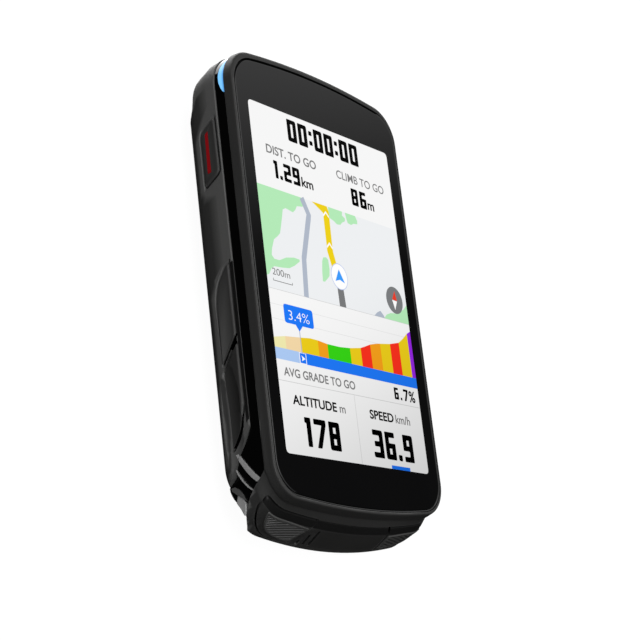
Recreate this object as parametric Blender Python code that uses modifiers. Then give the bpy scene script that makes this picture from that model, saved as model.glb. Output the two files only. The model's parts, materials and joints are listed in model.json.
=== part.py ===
"""Cycling computer: a touch-screen head unit for a handlebar, built piece by piece.

The unit lies on its back on the quarter-turn mount, screen up. X runs across it, +Y towards
its top end and +Z out of the screen. The origin is the middle of its footprint.

Everything is drawn in the screen's own frame: millimetres from the middle of the glass face,
with depth as a negative z. An empty at that point places it all. Ring sections that describe the
plan shape are (z, half width, top, bottom, top radius, bottom radius, top bow, bottom bow).
"""

from math import atan2, cos, pi, radians, sin, sqrt

import bmesh
import bpy
from mathutils import Matrix, Vector

MM = 0.001

# Overall size
LENGTH = 102.6
THICKNESS = 18.5
TOP_END = 49.5
BOTTOM_END = TOP_END - LENGTH
DATUM_Y = -(TOP_END + BOTTOM_END) / 2

# Fits
SLIT = 0.15
REST_GAP = 0.1
FIT = 0.12

# Screen and glass
GLASS_T = 0.9
GASKET_T = 0.2
GLASS_LEDGE = GLASS_T + GASKET_T + 0.15
PANEL_SIZE = (51.6, 77.6, 1.15)
BACKLIGHT_SIZE = (51.0, 76.6, 0.7)
WINDOW_SIZE = (52.2, 78.6)

# Depths of the three stacked housings
FRAME_BACK = -2.1
BAND_TOP = -2.25
BAND_BACK = -4.4
SHELL_TOP = -4.5
SHELL_T = 1.5
BACK_FLAT = -15.4

# Plan outlines: half width, top, bottom, top radius, bottom radius, top bow, bottom bow
GLASS = (28.1, 47.5, -46.1, 6.6, 6.8, 190, 200)
RIM = (28.9, 48.3, -47.2, 7.2, 7.0, 190, 200)
FRAME_EDGE = (29.6, 49.3, -47.6, 7.8, 7.3, 230, 200)
FRAME_FOOT = (29.6, 49.5, -47.8, 7.8, 7.6, 230, 190)
BAND = (29.1, 49.0, -46.0, 7.6, 7.4, 230, 190)

# Bottom end of the front frame, which holds the two front keys
CHIN_RINGS = (
    (-1.6, 29.6, 49.0, -47.7, 7.8, 7.4, 230, 190),
    (-2.1, 29.6, 49.0, -47.8, 7.8, 7.6, 230, 190),
    (-3.4, 29.55, 49.0, -49.1, 7.8, 8.4, 230, 150),
    (-4.8, 29.5, 49.0, -50.6, 7.8, 8.4, 230, 150),
    (-11.0, 29.3, 49.0, -53.1, 7.8, 8.0, 230, 130),
    (-11.4, 29.0, 49.0, -52.7, 7.8, 7.8, 230, 130),
)
CHIN_ROOM_RINGS = (
    (-2.1, 27.6, 47.0, -46.3, 6.0, 6.2, 230, 190),
    (-3.45, 27.6, 47.0, -47.3, 6.0, 6.2, 230, 150),
    (-4.8, 27.6, 47.0, -48.8, 6.0, 6.4, 230, 150),
    (-11.6, 27.6, 47.0, -51.4, 6.0, 6.4, 230, 130),
)
CHIN_BACK = ((-39.2, -1.6), (-40.0, -2.1), (-42.7, -4.2), (-45.5, -6.4), (-47.2, -7.6),
             (-48.9, -8.7), (-50.0, -9.2), (-50.6, -9.9), (-50.9, -11.6))
KEY_FACE = ((-27.7, -3.55), (-12.7, -3.55), (-13.0, -4.7), (-14.8, -9.9), (-21.0, -9.5),
            (-24.0, -9.0), (-25.4, -8.5), (-26.3, -7.6), (-27.2, -5.8))
PANEL_FACE = ((-12.4, -3.55), (12.4, -3.55), (12.7, -4.7), (14.6, -10.4), (-14.6, -10.4),
              (-12.7, -4.7))
KEY_SKIN = 2.0
KEY_TRAVEL = 0.5
KEY_X = 20.0
KEY_Z = -6.5
STEM_R = 0.8
SEAL_R = 1.3
SLOTS = ((-8.7, -5.4), (-10.7, -6.8), (-12.7, -8.3))
SLOT_FOOT = -9.6
SLOT_WIDTH = 0.6

# Rear shell
SHELL_RINGS = (
    (SHELL_TOP, 29.4, 49.2, -47.3, 7.8, 7.8, 230, 190),
    (-7.0, 29.45, 48.8, -47.3, 7.8, 7.8, 230, 190),
    (-10.6, 29.4, 46.8, -47.0, 7.8, 7.8, 230, 190),
    (-12.2, 28.8, 45.2, -46.0, 7.8, 7.8, 230, 190),
    (-13.1, 27.4, 43.0, -44.6, 7.4, 7.4, 220, 180),
    (-14.5, 22.0, 35.0, -36.0, 7.4, 7.4, 200, 170),
    (BACK_FLAT, 17.5, 26.0, -26.0, 9.0, 9.0, 180, 160),
)
TOP_STEP = ((33.9, -14.2), (34.6, -13.0), (38.2, -11.5), (47.0, -11.0), (60.0, -10.6),
            (60.0, -22.0), (33.9, -22.0))
SHELL_END = ((-31.0, -4.7), (-34.0, -6.4), (-37.3, -8.8), (-40.2, -10.3), (-41.5, -11.8),
             (-41.6, -20.0))

# Inner housing, where the shell stops short of the bottom end
END_RINGS = (
    (BAND_TOP, 28.95, 49.0, -50.4, 7.6, 8.0, 230, 150),
    (-9.0, 28.9, 49.0, -50.4, 7.6, 8.0, 230, 150),
    (-11.6, 28.4, 49.0, -50.4, 7.6, 8.0, 230, 150),
    (-13.4, 26.6, 49.0, -50.4, 7.6, 8.0, 230, 150),
)
END_BODY = ((-30.3, -4.3), (-31.07, -4.55), (-34.08, -6.26), (-37.39, -8.67), (-40.28, -10.15),
            (-41.65, -11.72), (-41.75, -13.0), (-51.0, -11.3), (-51.0, -2.4), (-30.3, -2.4))
END_ROOM = ((-28.5, 1.0), (-28.5, -5.2), (-36.0, -8.2), (-60.0, -8.2), (-60.0, 1.0))
PORT_ROOM = ((-36.5, -6.4), (-40.6, -11.4), (-60.0, -8.17), (-60.0, -6.4))
SCOOP = ((-41.8, -13.6), (-41.8, -12.9), (-45.0, -11.3), (-48.7, -8.95), (-52.0, -6.8),
         (-60.0, -6.8), (-60.0, -13.6))
SCOOP_STEPS = ((0.6, ((-36.3, -8.4), (-42.2, -3.9), (-60.0, 10.0), (-60.0, -20.0), (-30.0, -20.0),
                      (-33.0, -11.0))),
               (1.0, ((-38.8, -9.4), (-43.9, -5.4), (-60.0, 7.0), (-60.0, -20.0), (-34.0, -20.0),
                      (-36.0, -11.0))))

# Side keys, in the left wall: outlines as (y, z)
WALL_X = 29.4
POWER_FACE = ((22.0, -5.4), (33.5, -5.5), (31.4, -8.9), (30.4, -9.4), (19.2, -9.4), (21.2, -6.0))
PAGE_UP_FACE = ((2.3, -5.6), (1.8, -6.5), (0.2, -7.7), (-1.8, -8.9), (-4.6, -9.6), (-18.2, -9.6),
                (-12.6, -5.6))
PAGE_DOWN_FACE = ((-14.0, -5.6), (-19.6, -9.6), (-35.2, -9.6), (-33.2, -8.0), (-30.8, -6.4),
                  (-27.6, -5.6))
STRIPE_FACE = ((22.1, -7.4), (31.0, -7.3), (30.4, -8.1), (21.9, -8.3))
SIDE_KEYS = (
    ("power", POWER_FACE, (26.5, -7.4)),
    ("page_up", PAGE_UP_FACE, (-7.5, -7.6)),
    ("page_down", PAGE_DOWN_FACE, (-24.0, -7.6)),
)

# Light in the upper corners of the band, as (y, z)
LIGHT_FACE = ((38.4, -2.3), (39.2, -2.9), (40.4, -3.35), (42.0, -3.55), (43.6, -3.4), (44.8, -3.0),
              (45.6, -2.3), (45.6, -1.5), (38.4, -1.5))

# Quarter-turn mount
MOUNT_FLANGE_R = 16.0
MOUNT_NECK_R = 12.0
MOUNT_TAB_R = 14.3
MOUNT_FLANGE_T = 0.9
MOUNT_TAB_T = 1.5
MOUNT_SCREW_R = 8.4
CASE_SCREWS = ((-24.6, 38.6), (24.6, 38.6), (-24.2, -34.2), (24.2, -34.2))
SCREW_SEATS = (-10.8, -8.6)
SCREW_JOINTS = (-8.6, -5.2)

# Port cover on the back
COVER_SIZE = (15.0, 7.6, 1.2)
COVER_HINGE = (-42.9, -13.05)
COVER_TILT = atan2(1.7, 9.2)

COLOURS = {
    "shell": ((0.022, 0.022, 0.023), 0.55, 0.0),
    "glass": ((0.010, 0.010, 0.012), 0.08, 0.0),
    "gloss": ((0.004, 0.004, 0.004), 0.10, 0.0),
    "rubber": ((0.015, 0.015, 0.015), 0.85, 0.0),
    "red": ((0.32, 0.008, 0.014), 0.45, 0.0),
    "light": ((0.45, 0.75, 0.95), 0.20, 0.0),
    "screen": ((0.85, 0.86, 0.88), 0.30, 0.0),
    "steel": ((0.55, 0.55, 0.56), 0.32, 1.0),
    "board": ((0.010, 0.085, 0.040), 0.50, 0.0),
    "film": ((0.30, 0.13, 0.03), 0.40, 0.0),
    "cell": ((0.42, 0.43, 0.45), 0.35, 0.3),
    "ceramic": ((0.72, 0.66, 0.55), 0.60, 0.0),
    "grey": ((0.08, 0.08, 0.085), 0.50, 0.0),
}


# ---------------------------------------------------------------- helpers

def clear_scene():
    for obj in list(bpy.data.objects):
        bpy.data.objects.remove(obj, do_unlink=True)


def make_collection(name):
    collection = bpy.data.collections.new(name)
    bpy.context.scene.collection.children.link(collection)
    return collection


def own_material(obj, key):
    colour, roughness, metallic = COLOURS[key]
    material = bpy.data.materials.new(obj.name + "_" + key)
    material.use_nodes = True
    shader = material.node_tree.nodes["Principled BSDF"]
    shader.inputs["Base Color"].default_value = (*colour, 1.0)
    shader.inputs["Roughness"].default_value = roughness
    shader.inputs["Metallic"].default_value = metallic
    obj.data.materials.clear()
    obj.data.materials.append(material)


def millimetres(point):
    return Vector(point) * MM


def arc(cx, cy, r, start, end, steps):
    turns = [start + (end - start) * i / steps for i in range(steps + 1)]
    return [(cx + r * cos(a), cy + r * sin(a)) for a in turns]


def outline(half_w, top, bottom, r_top, r_bottom, bow_top, bow_bottom):
    """Plan outline with straight sides, bowed ends and round corners, counter-clockwise."""
    low_cy = bottom + bow_bottom
    low_x = half_w - r_bottom
    low_y = low_cy - sqrt((bow_bottom - r_bottom) ** 2 - low_x ** 2)
    low_turn = atan2(low_x, low_cy - low_y)
    high_cy = top - bow_top
    high_x = half_w - r_top
    high_y = high_cy + sqrt((bow_top - r_top) ** 2 - high_x ** 2)
    high_turn = atan2(high_x, high_y - high_cy)
    right = arc(0, low_cy, bow_bottom, -pi / 2, -pi / 2 + low_turn, 3)[:-1]
    right += arc(low_x, low_y, r_bottom, -pi / 2 + low_turn, 0, 6)
    right += arc(high_x, high_y, r_top, 0, pi / 2 - high_turn, 6)
    right += arc(0, high_cy, bow_top, pi / 2 - high_turn, pi / 2, 3)[1:]
    left = [(-x, y) for x, y in reversed(right[1:-1])]
    return right + left


def inset(ring, amount):
    """The same ring section, drawn in by amount all round."""
    z, half_w, top, bottom, r_top, r_bottom, bow_top, bow_bottom = ring
    return (z, half_w - amount, top - amount, bottom + amount,
            max(r_top - amount, 1.0), max(r_bottom - amount, 1.0), bow_top, bow_bottom)


def add_mesh(name, bm, collection):
    bmesh.ops.recalc_face_normals(bm, faces=bm.faces)
    mesh = bpy.data.meshes.new(name)
    bm.to_mesh(mesh)
    bm.free()
    obj = bpy.data.objects.new(name, mesh)
    collection.objects.link(obj)
    return obj


def loft(name, rings, collection):
    """Closed solid through ring sections, capped at both ends."""
    bm = bmesh.new()
    loops = []
    for ring in rings:
        points = outline(*ring[1:])
        loops.append([bm.verts.new(millimetres((x, y, ring[0]))) for x, y in points])
    count = len(loops[0])
    for upper, lower in zip(loops, loops[1:]):
        for i in range(count):
            j = (i + 1) % count
            bm.faces.new((upper[i], upper[j], lower[j], lower[i]))
    bm.faces.new(loops[0])
    bm.faces.new(loops[-1])
    return add_mesh(name, bm, collection)


def slab(name, plan, low, high, collection):
    """Plan outline between two depths."""
    return loft(name, [(high, *plan), (low, *plan)], collection)


def box(name, low, high, collection):
    bm = bmesh.new()
    bmesh.ops.create_cube(bm, size=1.0)
    middle = (Vector(low) + Vector(high)) / 2
    size = Vector(high) - Vector(low)
    for vert in bm.verts:
        vert.co = millimetres([m + c * s for m, c, s in zip(middle, vert.co, size)])
    return add_mesh(name, bm, collection)


AXES = {
    "X": Matrix(((0, 0, 1), (1, 0, 0), (0, 1, 0))).to_4x4(),
    "Y": Matrix(((1, 0, 0), (0, 0, -1), (0, 1, 0))).to_4x4(),
    "Z": Matrix.Identity(4),
}


def cylinder(name, start, end, radius, collection, sides=16, radius_end=None):
    bm = bmesh.new()
    start = Vector(start)
    along = Vector(end) - start
    tip = radius if radius_end is None else radius_end
    bmesh.ops.create_cone(bm, cap_ends=True, segments=sides, radius1=radius * MM,
                          radius2=tip * MM, depth=along.length * MM)
    turn = along.to_track_quat("Z", "Y").to_matrix().to_4x4()
    place = Matrix.Translation(millimetres(start + along / 2)) @ turn
    bmesh.ops.transform(bm, matrix=place, verts=bm.verts)
    return add_mesh(name, bm, collection)


def prism(name, points, low, high, axis, collection):
    """Flat outline extruded along an axis. Points are (y, z) for X, (x, z) for Y, (x, y) for Z."""
    curve = bpy.data.curves.new(name, "CURVE")
    curve.dimensions = "2D"
    curve.fill_mode = "BOTH"
    curve.extrude = abs(high - low) / 2 * MM
    spline = curve.splines.new("POLY")
    spline.points.add(len(points) - 1)
    for point, (u, v) in zip(spline.points, points):
        point.co = (u * MM, v * MM, 0, 1)
    spline.use_cyclic_u = True
    drawn = bpy.data.objects.new(name + "_outline", curve)
    collection.objects.link(drawn)
    bpy.context.view_layer.update()
    ready = drawn.evaluated_get(bpy.context.evaluated_depsgraph_get())
    mesh = bpy.data.meshes.new_from_object(ready)
    bpy.data.objects.remove(drawn, do_unlink=True)
    middle = {"X": ((low + high) / 2, 0, 0), "Y": (0, (low + high) / 2, 0),
              "Z": (0, 0, (low + high) / 2)}[axis]
    bm = bmesh.new()
    bm.from_mesh(mesh)
    bpy.data.meshes.remove(mesh)
    bmesh.ops.remove_doubles(bm, verts=bm.verts, dist=1e-6)
    place = Matrix.Translation(millimetres(middle)) @ AXES[axis]
    bmesh.ops.transform(bm, matrix=place, verts=bm.verts)
    return add_mesh(name, bm, collection)


def grow(points, amount):
    """Closed outline moved outwards by amount along its corner normals."""
    area = sum(a[0] * b[1] - b[0] * a[1] for a, b in zip(points, points[1:] + points[:1]))
    side = 1 if area > 0 else -1
    moved = []
    for i, here in enumerate(points):
        before = Vector(here) - Vector(points[i - 1])
        after = Vector(points[(i + 1) % len(points)]) - Vector(here)
        n1 = Vector((before.y, -before.x)).normalized() * side
        n2 = Vector((after.y, -after.x)).normalized() * side
        mitre = (n1 + n2) / max(1.0 + n1.dot(n2), 0.5)
        moved.append(tuple(Vector(here) + mitre * amount))
    return moved


def apply_boolean(obj, other, operation):
    modifier = obj.modifiers.new(operation.lower() + "_" + other.name, "BOOLEAN")
    modifier.operation = operation
    modifier.solver = "EXACT"
    modifier.object = other
    other.hide_render = True
    other.display_type = "WIRE"


def cut(obj, *others):
    for other in others:
        apply_boolean(obj, other, "DIFFERENCE")


def keep(obj, *others):
    for other in others:
        apply_boolean(obj, other, "INTERSECT")


def fuse(obj, *others):
    for other in others:
        apply_boolean(obj, other, "UNION")


def bevel(obj, width, segments=1, angle=40):
    modifier = obj.modifiers.new("bevel", "BEVEL")
    modifier.width = width * MM
    modifier.segments = segments
    modifier.limit_method = "ANGLE"
    modifier.angle_limit = radians(angle)


def origin_at(obj, point):
    """Move the object's origin to a point in the screen's frame."""
    shift = millimetres(point)
    obj.data.transform(Matrix.Translation(-shift))
    obj.location = shift


def mirrored(points):
    return tuple((-x, y) for x, y in points)


# ---------------------------------------------------------------- front

def make_front(parts, tools):
    frame = loft("front_frame", [(0.0, *RIM), (-1.2, *FRAME_EDGE), (FRAME_BACK, *FRAME_FOOT)], parts)
    chin = loft("chin_block", CHIN_RINGS, tools)
    chin_side = list(CHIN_BACK) + [(-60.0, -11.6), (-60.0, -1.6)]
    keep(chin, prism("chin_side", chin_side, -40, 40, "X", tools))
    fuse(frame, chin)
    pocket = grow_ring(GLASS, FIT)
    cut(frame, slab("glass_pocket", pocket, -GLASS_LEDGE, 1.0, tools))
    half_x, half_y = (s / 2 for s in WINDOW_SIZE)
    cut(frame, box("display_window", (-half_x, -half_y - 0.5, -5), (half_x, half_y - 0.5, 1), tools))
    room = loft("chin_room", CHIN_ROOM_RINGS, tools)
    room_side = [(-30.0, 0.0), (-30.0, -20.0), (-60.0, -20.0), (-60.0, FRAME_BACK), (-39.0, FRAME_BACK)]
    keep(room, prism("chin_room_side", room_side, -40, 40, "X", tools))
    cut(frame, room)
    for side, face in (("left", KEY_FACE), ("right", mirrored(KEY_FACE))):
        opening = grow(list(face), SLIT)
        cut(frame, prism(side + "_key_opening", opening, -60, -40.8, "Y", tools))
    opening = grow(list(PANEL_FACE), SLIT)
    cut(frame, prism("panel_opening", opening, -60, -44, "Y", tools))
    own_material(frame, "shell")

    glass = slab("cover_glass", GLASS, -GLASS_T, 0.0, parts)
    bevel(glass, 0.15)
    own_material(glass, "glass")

    gasket_plan = grow_ring(GLASS, -0.15)
    gasket = slab("glass_gasket", gasket_plan, -GLASS_T - 0.05 - GASKET_T, -GLASS_T - 0.05, parts)
    cut(gasket, box("gasket_window", (-half_x - 0.3, -half_y - 0.9, -5),
                    (half_x + 0.3, half_y - 0.1, 1), tools))
    own_material(gasket, "rubber")

    wide, tall, thick = PANEL_SIZE
    top = -GLASS_T - REST_GAP
    panel = box("display_panel", (-wide / 2, -tall / 2 - 0.5, top - thick),
                (wide / 2, tall / 2 - 0.5, top), parts)
    own_material(panel, "screen")
    top -= thick + REST_GAP
    wide, tall, thick = BACKLIGHT_SIZE
    backlight = box("display_backlight", (-wide / 2, -tall / 2 - 0.5, top - thick),
                    (wide / 2, tall / 2 - 0.5, top), parts)
    own_material(backlight, "steel")

    strip = [(-36.0, -3.05), (-41.4, -3.05), (-42.0, -3.6), (-41.4, -4.15), (-37.2, -4.15),
             (-37.2, -4.0), (-41.3, -4.0), (-41.7, -3.6), (-41.3, -3.2), (-36.0, -3.2)]
    flex = prism("display_flex", strip, -7, 7, "X", parts)
    own_material(flex, "film")


def grow_ring(plan, amount):
    return inset((0.0, *plan), -amount)[1:]


# ---------------------------------------------------------------- housings

def make_mid_housing(parts, tools):
    housing = slab("mid_housing", BAND, BAND_BACK, BAND_TOP, parts)
    end = loft("end_block", END_RINGS, tools)
    keep(end, prism("end_body", END_BODY, -40, 40, "X", tools))
    fuse(housing, end)
    cut(housing, slab("band_room", grow_ring(BAND, -2.8), -4.9, 1.0, tools))
    cut(housing, prism("end_room", END_ROOM, -26.3, 26.3, "X", tools))
    cut(housing, prism("port_room", PORT_ROOM, -22.9, 22.9, "X", tools))

    chin_wall = prism("chin_wall", grow([*CHIN_BACK, (-60.0, -11.6), (-60.0, -1.6)], SLIT),
                      -40, 40, "X", tools)
    cut(housing, chin_wall)

    for side in (-1, 1):
        name = "left" if side < 0 else "right"
        near, far = sorted((side * 24.0, side * 40))
        cut(housing, prism(name + "_scoop", SCOOP, near, far, "X", tools))
        for step, (depth, area) in enumerate(SCOOP_STEPS):
            near, far = sorted((side * (BAND[0] - depth), side * 40))
            cut(housing, prism(f"{name}_scoop_step_{step}", area, near, far, "X", tools))

    for side, face in (("left", KEY_FACE), ("right", mirrored(KEY_FACE))):
        sweep = prism(side + "_key_sweep", grow(list(face), SLIT + 0.1), -60, -42.6, "Y", tools)
        behind = [inset(ring, KEY_SKIN + KEY_TRAVEL + SLIT) for ring in CHIN_RINGS[1:]]
        behind = [(1.0, *behind[0][1:]), *behind, (-20.0, *behind[-1][1:])]
        cut(sweep, loft(side + "_key_behind", behind, tools))
        cut(housing, sweep)
    for i, (x, y) in enumerate(CASE_SCREWS, 1):
        joint = SCREW_JOINTS[y > 0] + 0.1
        fuse(housing, cylinder(f"nut_boss_{i}", (x, y, -3.1), (x, y, joint), 2.5, tools, 12))
        cut(housing, cylinder(f"nut_bore_{i}", (x, y, -3.5), (x, y, joint - 1.0), 0.9, tools, 12))
    groove = slab("seal_groove", grow_ring(BAND, -1.55), BAND_TOP - 0.65, BAND_TOP + 1, tools)
    cut(groove, slab("seal_groove_core", grow_ring(BAND, -2.35), -5, 5, tools))
    cut(housing, groove)
    light = prism("light_pockets", grow(list(LIGHT_FACE), SLIT), -40, 40, "X", tools)
    cut(light, slab("light_pocket_core", grow_ring(BAND, -1.25), -5, 5, tools))
    cut(housing, light)

    tilt = Matrix.Rotation(-COVER_TILT, 4, "X")
    wide, tall, thick = COVER_SIZE
    recess = box("cover_recess", (-wide / 2 - 0.3, -tall - 0.3, -2.0),
                 (wide / 2 + 0.3, 0.6, thick + 0.15), tools)
    recess.data.transform(tilt)
    recess.location = millimetres((0, *COVER_HINGE))
    cut(housing, recess)
    cut(housing, box("port_mouth", (-4.9, -47.9, -14), (4.9, -44.1, -5), tools))
    own_material(housing, "gloss")

    seal = slab("main_seal", grow_ring(BAND, -1.65), BAND_TOP - 0.55, BAND_TOP + 0.05, parts)
    cut(seal, slab("main_seal_core", grow_ring(BAND, -2.25), -5, 5, tools))
    own_material(seal, "rubber")


def make_lights(parts, tools):
    for side in (-1, 1):
        name = "left" if side < 0 else "right"
        near, far = sorted((side * 10, side * 40))
        face = [(y, min(z, BAND_TOP)) for y, z in LIGHT_FACE]
        face = [point for i, point in enumerate(face) if point != face[i - 1]]
        guide = prism("light_guide_" + name, face, near, far, "X", parts)
        keep(guide, slab(name + "_light_skin", grow_ring(BAND, -0.05), -5, 1, tools))
        cut(guide, slab(name + "_light_core", grow_ring(BAND, -1.1), -6, 2, tools))
        own_material(guide, "light")
        near, far = sorted((side * 24.2, side * 25.4))
        led = box("light_led_" + name, (near, 41.25, -3.9), (far, 42.5, -3.0), parts)
        own_material(led, "ceramic")


def make_rear_shell(parts, tools):
    shell = loft("rear_shell", SHELL_RINGS, parts)
    cut(shell, prism("top_step", TOP_STEP, -40, 40, "X", tools))
    rings = [inset(ring, SHELL_T) for ring in SHELL_RINGS]
    rings = [(rings[0][0] + 1, *rings[0][1:])] + rings[1:-1]
    rings.append((BACK_FLAT + SHELL_T, 17.5, 26.0, -26.0, 9.0, 9.0, 180, 160))
    rings = [ring if ring[0] > -12 else (ring[0] + SHELL_T * 0.85, *ring[1:])
             for ring in rings[:-1]] + rings[-1:]
    room = loft("shell_room", rings, tools)
    step = [(y - SHELL_T, z + SHELL_T) for y, z in TOP_STEP]
    cut(room, prism("inner_step", step, -40, 40, "X", tools))
    cut(shell, room)

    end = [(-29.4, SHELL_TOP + 1), *SHELL_END, (-60.0, -20.0), (-60.0, SHELL_TOP + 1)]
    cut(shell, prism("shell_end", end, -40, 40, "X", tools))
    for name, face, _ in SIDE_KEYS:
        cut(shell, prism(name + "_opening", grow(list(face), SLIT), -40, -26, "X", tools))

    for i, (x, y) in enumerate(CASE_SCREWS, 1):
        seat = SCREW_SEATS[y > 0]
        joint = SCREW_JOINTS[y > 0]
        fuse(shell, cylinder(f"case_boss_{i}", (x, y, joint - 0.05), (x, y, seat - 2.2), 2.5, tools, 12))
        cut(shell, cylinder(f"case_bore_{i}", (x, y, -4.0), (x, y, -20.0), 1.0, tools, 12))
        cut(shell, cylinder(f"case_head_bore_{i}", (x, y, seat), (x, y, -20.0), 1.75, tools, 16))
    for i, (x, y) in enumerate(mount_screw_places(), 1):
        cut(shell, cylinder(f"mount_bore_{i}", (x, y, -12.0), (x, y, -20.0), 0.85, tools, 12))
    cut(shell, cylinder("vent_bore", (14.0, 41.5, -5.0), (14.0, 41.5, -20.0), 0.6, tools, 12))
    own_material(shell, "shell")


def mount_screw_places():
    return [(MOUNT_SCREW_R * cos(a), MOUNT_SCREW_R * sin(a))
            for a in (pi / 2, pi / 2 + 2 * pi / 3, pi / 2 - 2 * pi / 3)]


# ---------------------------------------------------------------- keys

def make_side_keys(parts, tools):
    carrier = box("side_key_carrier", (-26.5, -31.5, -9.6), (-25.9, 31.5, -5.6), parts)
    own_material(carrier, "grey")
    board = box("side_key_board", (-23.0, -31.5, -9.4), (-22.4, 31.5, -5.8), parts)
    own_material(board, "film")
    for name, face, (y, z) in SIDE_KEYS:
        head = prism(name + "_button", face, -WALL_X - 0.15, -WALL_X + 1.2, "X", parts)
        neck = prism(name + "_neck", grow(list(face), -0.25), -WALL_X + 1.0, -27.4, "X", tools)
        flange = box(name + "_flange", (-27.6, y - 5.5, z - 1.6), (-27.1, y + 5.5, z + 1.6), tools)
        stem = cylinder(name + "_stem", (-27.3, y, z), (-25.5, y, z), STEM_R, tools, 12)
        fuse(head, neck, flange, stem)
        if name == "power":
            cut(head, prism("stripe_pocket", grow(list(STRIPE_FACE), 0.06), -40, -29.05, "X", tools))
            stripe = prism("power_button_stripe", STRIPE_FACE, -WALL_X - 0.17, -29.1, "X", parts)
            own_material(stripe, "red")
        own_material(head, "shell")
        origin_at(head, (-WALL_X, y, z))
        cut(carrier, cylinder(name + "_seal_bore", (-28, y, z), (-24, y, z), SEAL_R + 0.1, tools, 16))
        make_seal_and_switch(name, (-26.5, y, z), Vector((1, 0, 0)), parts, tools)


def make_seal_and_switch(name, place, inward, parts, tools):
    """Stem seal, then the tact switch behind it. place is the seal's outer face."""
    place = Vector(place)
    seal = cylinder(name + "_seal", place, place + inward * 0.6, SEAL_R, parts, 16)
    cut(seal, cylinder(name + "_seal_hole", place - inward, place + inward * 2, STEM_R + FIT, tools, 16))
    own_material(seal, "rubber")
    plunger = cylinder(name + "_plunger", place + inward * 1.05, place + inward * 2.0, 0.7, parts, 12)
    own_material(plunger, "grey")
    origin_at(plunger, place + inward * 1.05)
    across = Vector((1, 1, 1)) - Vector([abs(c) for c in inward])
    low = place + inward * 1.9 - across * 1.7
    high = place + inward * 3.4 + across * 1.7
    corners = [[min(a, b) for a, b in zip(low, high)], [max(a, b) for a, b in zip(low, high)]]
    switch = box(name + "_switch", corners[0], corners[1], parts)
    cut(switch, cylinder(name + "_switch_bore", place + inward * 1.5, place + inward * 2.8, 0.85,
                         tools, 12))
    own_material(switch, "steel")


def make_front_keys(parts, tools):
    for side, face in ((-1, KEY_FACE), (1, mirrored(KEY_FACE))):
        name = "left_key" if side < 0 else "right_key"
        key = loft(name, CHIN_RINGS[1:], parts)
        keep(key, prism(name + "_face", face, -60, -43.4, "Y", tools))
        rings = [inset(ring, KEY_SKIN) for ring in CHIN_RINGS[1:]]
        rings = [(0.0, *rings[0][1:]), *rings, (-20.0, *rings[-1][1:])]
        cut(key, loft(name + "_core", rings, tools))
        stem = cylinder(name + "_stem", (side * KEY_X, -49.0, KEY_Z), (side * KEY_X, -45.0, KEY_Z),
                        STEM_R, tools, 12)
        fuse(key, stem)
        own_material(key, "shell")
        origin_at(key, (side * KEY_X, -50.0, KEY_Z))
        low = (side * KEY_X - 2.2, -46.0, -8.2)
        high = (side * KEY_X + 2.2, -45.4, -4.7)
        carrier = box(name + "_carrier", low, high, parts)
        cut(carrier, cylinder(name + "_seal_bore", (side * KEY_X, -50, KEY_Z),
                              (side * KEY_X, -44, KEY_Z), SEAL_R + 0.1, tools, 16))
        own_material(carrier, "grey")
        make_seal_and_switch(name, (side * KEY_X, -46.0, KEY_Z), Vector((0, 1, 0)), parts, tools)
    board = box("chin_key_board", (-23.5, -42.5, -8.0), (23.5, -41.9, -4.6), parts)
    own_material(board, "film")


def make_chin_panel(parts, tools):
    panel = loft("chin_panel", CHIN_RINGS[1:], parts)
    keep(panel, prism("chin_panel_face", PANEL_FACE, -60, -44.4, "Y", tools))
    rings = [inset(ring, 1.7) for ring in CHIN_RINGS[1:]]
    rings = [(0.0, *rings[0][1:]), *rings, (-20.0, *rings[-1][1:])]
    cut(panel, loft("chin_panel_core", rings, tools))
    for i, (x, top) in enumerate(SLOTS, 1):
        half = SLOT_WIDTH / 2
        sound_hole = [(x - half, top), (x - half + 0.6, SLOT_FOOT), (x + half + 0.6, SLOT_FOOT),
                      (x + half, top)]
        cut(panel, prism(f"sound_hole_{i}", sound_hole, -60, -44, "Y", tools))
    own_material(panel, "shell")
    buzzer = cylinder("buzzer", (-10.4, -47.6, -7.4), (-10.4, -45.2, -7.4), 2.7, parts, 20)
    bevel(buzzer, 0.3)
    own_material(buzzer, "grey")


# ---------------------------------------------------------------- inside

def make_electronics(parts, tools):
    board = box("main_board", (-21.5, -34.5, -5.2), (21.5, 37.0, -4.2), parts)
    for x in (-21.5, 21.5):
        cut(board, box(f"board_notch_{x:.0f}", (x - 2.5, 30.5, -8), (x + 2.5, 38.0, 0), tools))
    own_material(board, "board")
    shield = box("shield_can", (-17.0, 6.0, -6.9), (3.0, 30.0, -5.3), parts)
    bevel(shield, 0.3)
    own_material(shield, "steel")
    antenna = box("gnss_antenna", (5.5, 29.5, -8.2), (17.5, 41.0, -5.3), parts)
    bevel(antenna, 0.4)
    own_material(antenna, "ceramic")
    battery = box("battery", (-20.5, -31.0, -12.3), (20.5, 28.0, -7.2), parts)
    bevel(battery, 1.2, 2)
    own_material(battery, "cell")
    lead = box("battery_lead", (8.0, -33.5, -8.4), (14.0, -31.1, -5.3), parts)
    own_material(lead, "film")
    sensor = box("pressure_sensor", (12.4, 42.2, -6.9), (15.6, 45.0, -5.9), parts)
    own_material(sensor, "steel")
    membrane = cylinder("vent_membrane", (14.0, 41.5, -9.3), (14.0, 41.5, -8.9), 2.2, parts, 16)
    own_material(membrane, "ceramic")

    port = box("usb_receptacle", (-4.6, -47.6, -10.8), (4.6, -44.4, -4.6), parts)
    bevel(port, 0.5, 2)
    cut(port, box("usb_mouth", (-4.2, -47.2, -12), (4.2, -44.8, -5.4), tools))
    own_material(port, "steel")


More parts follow.
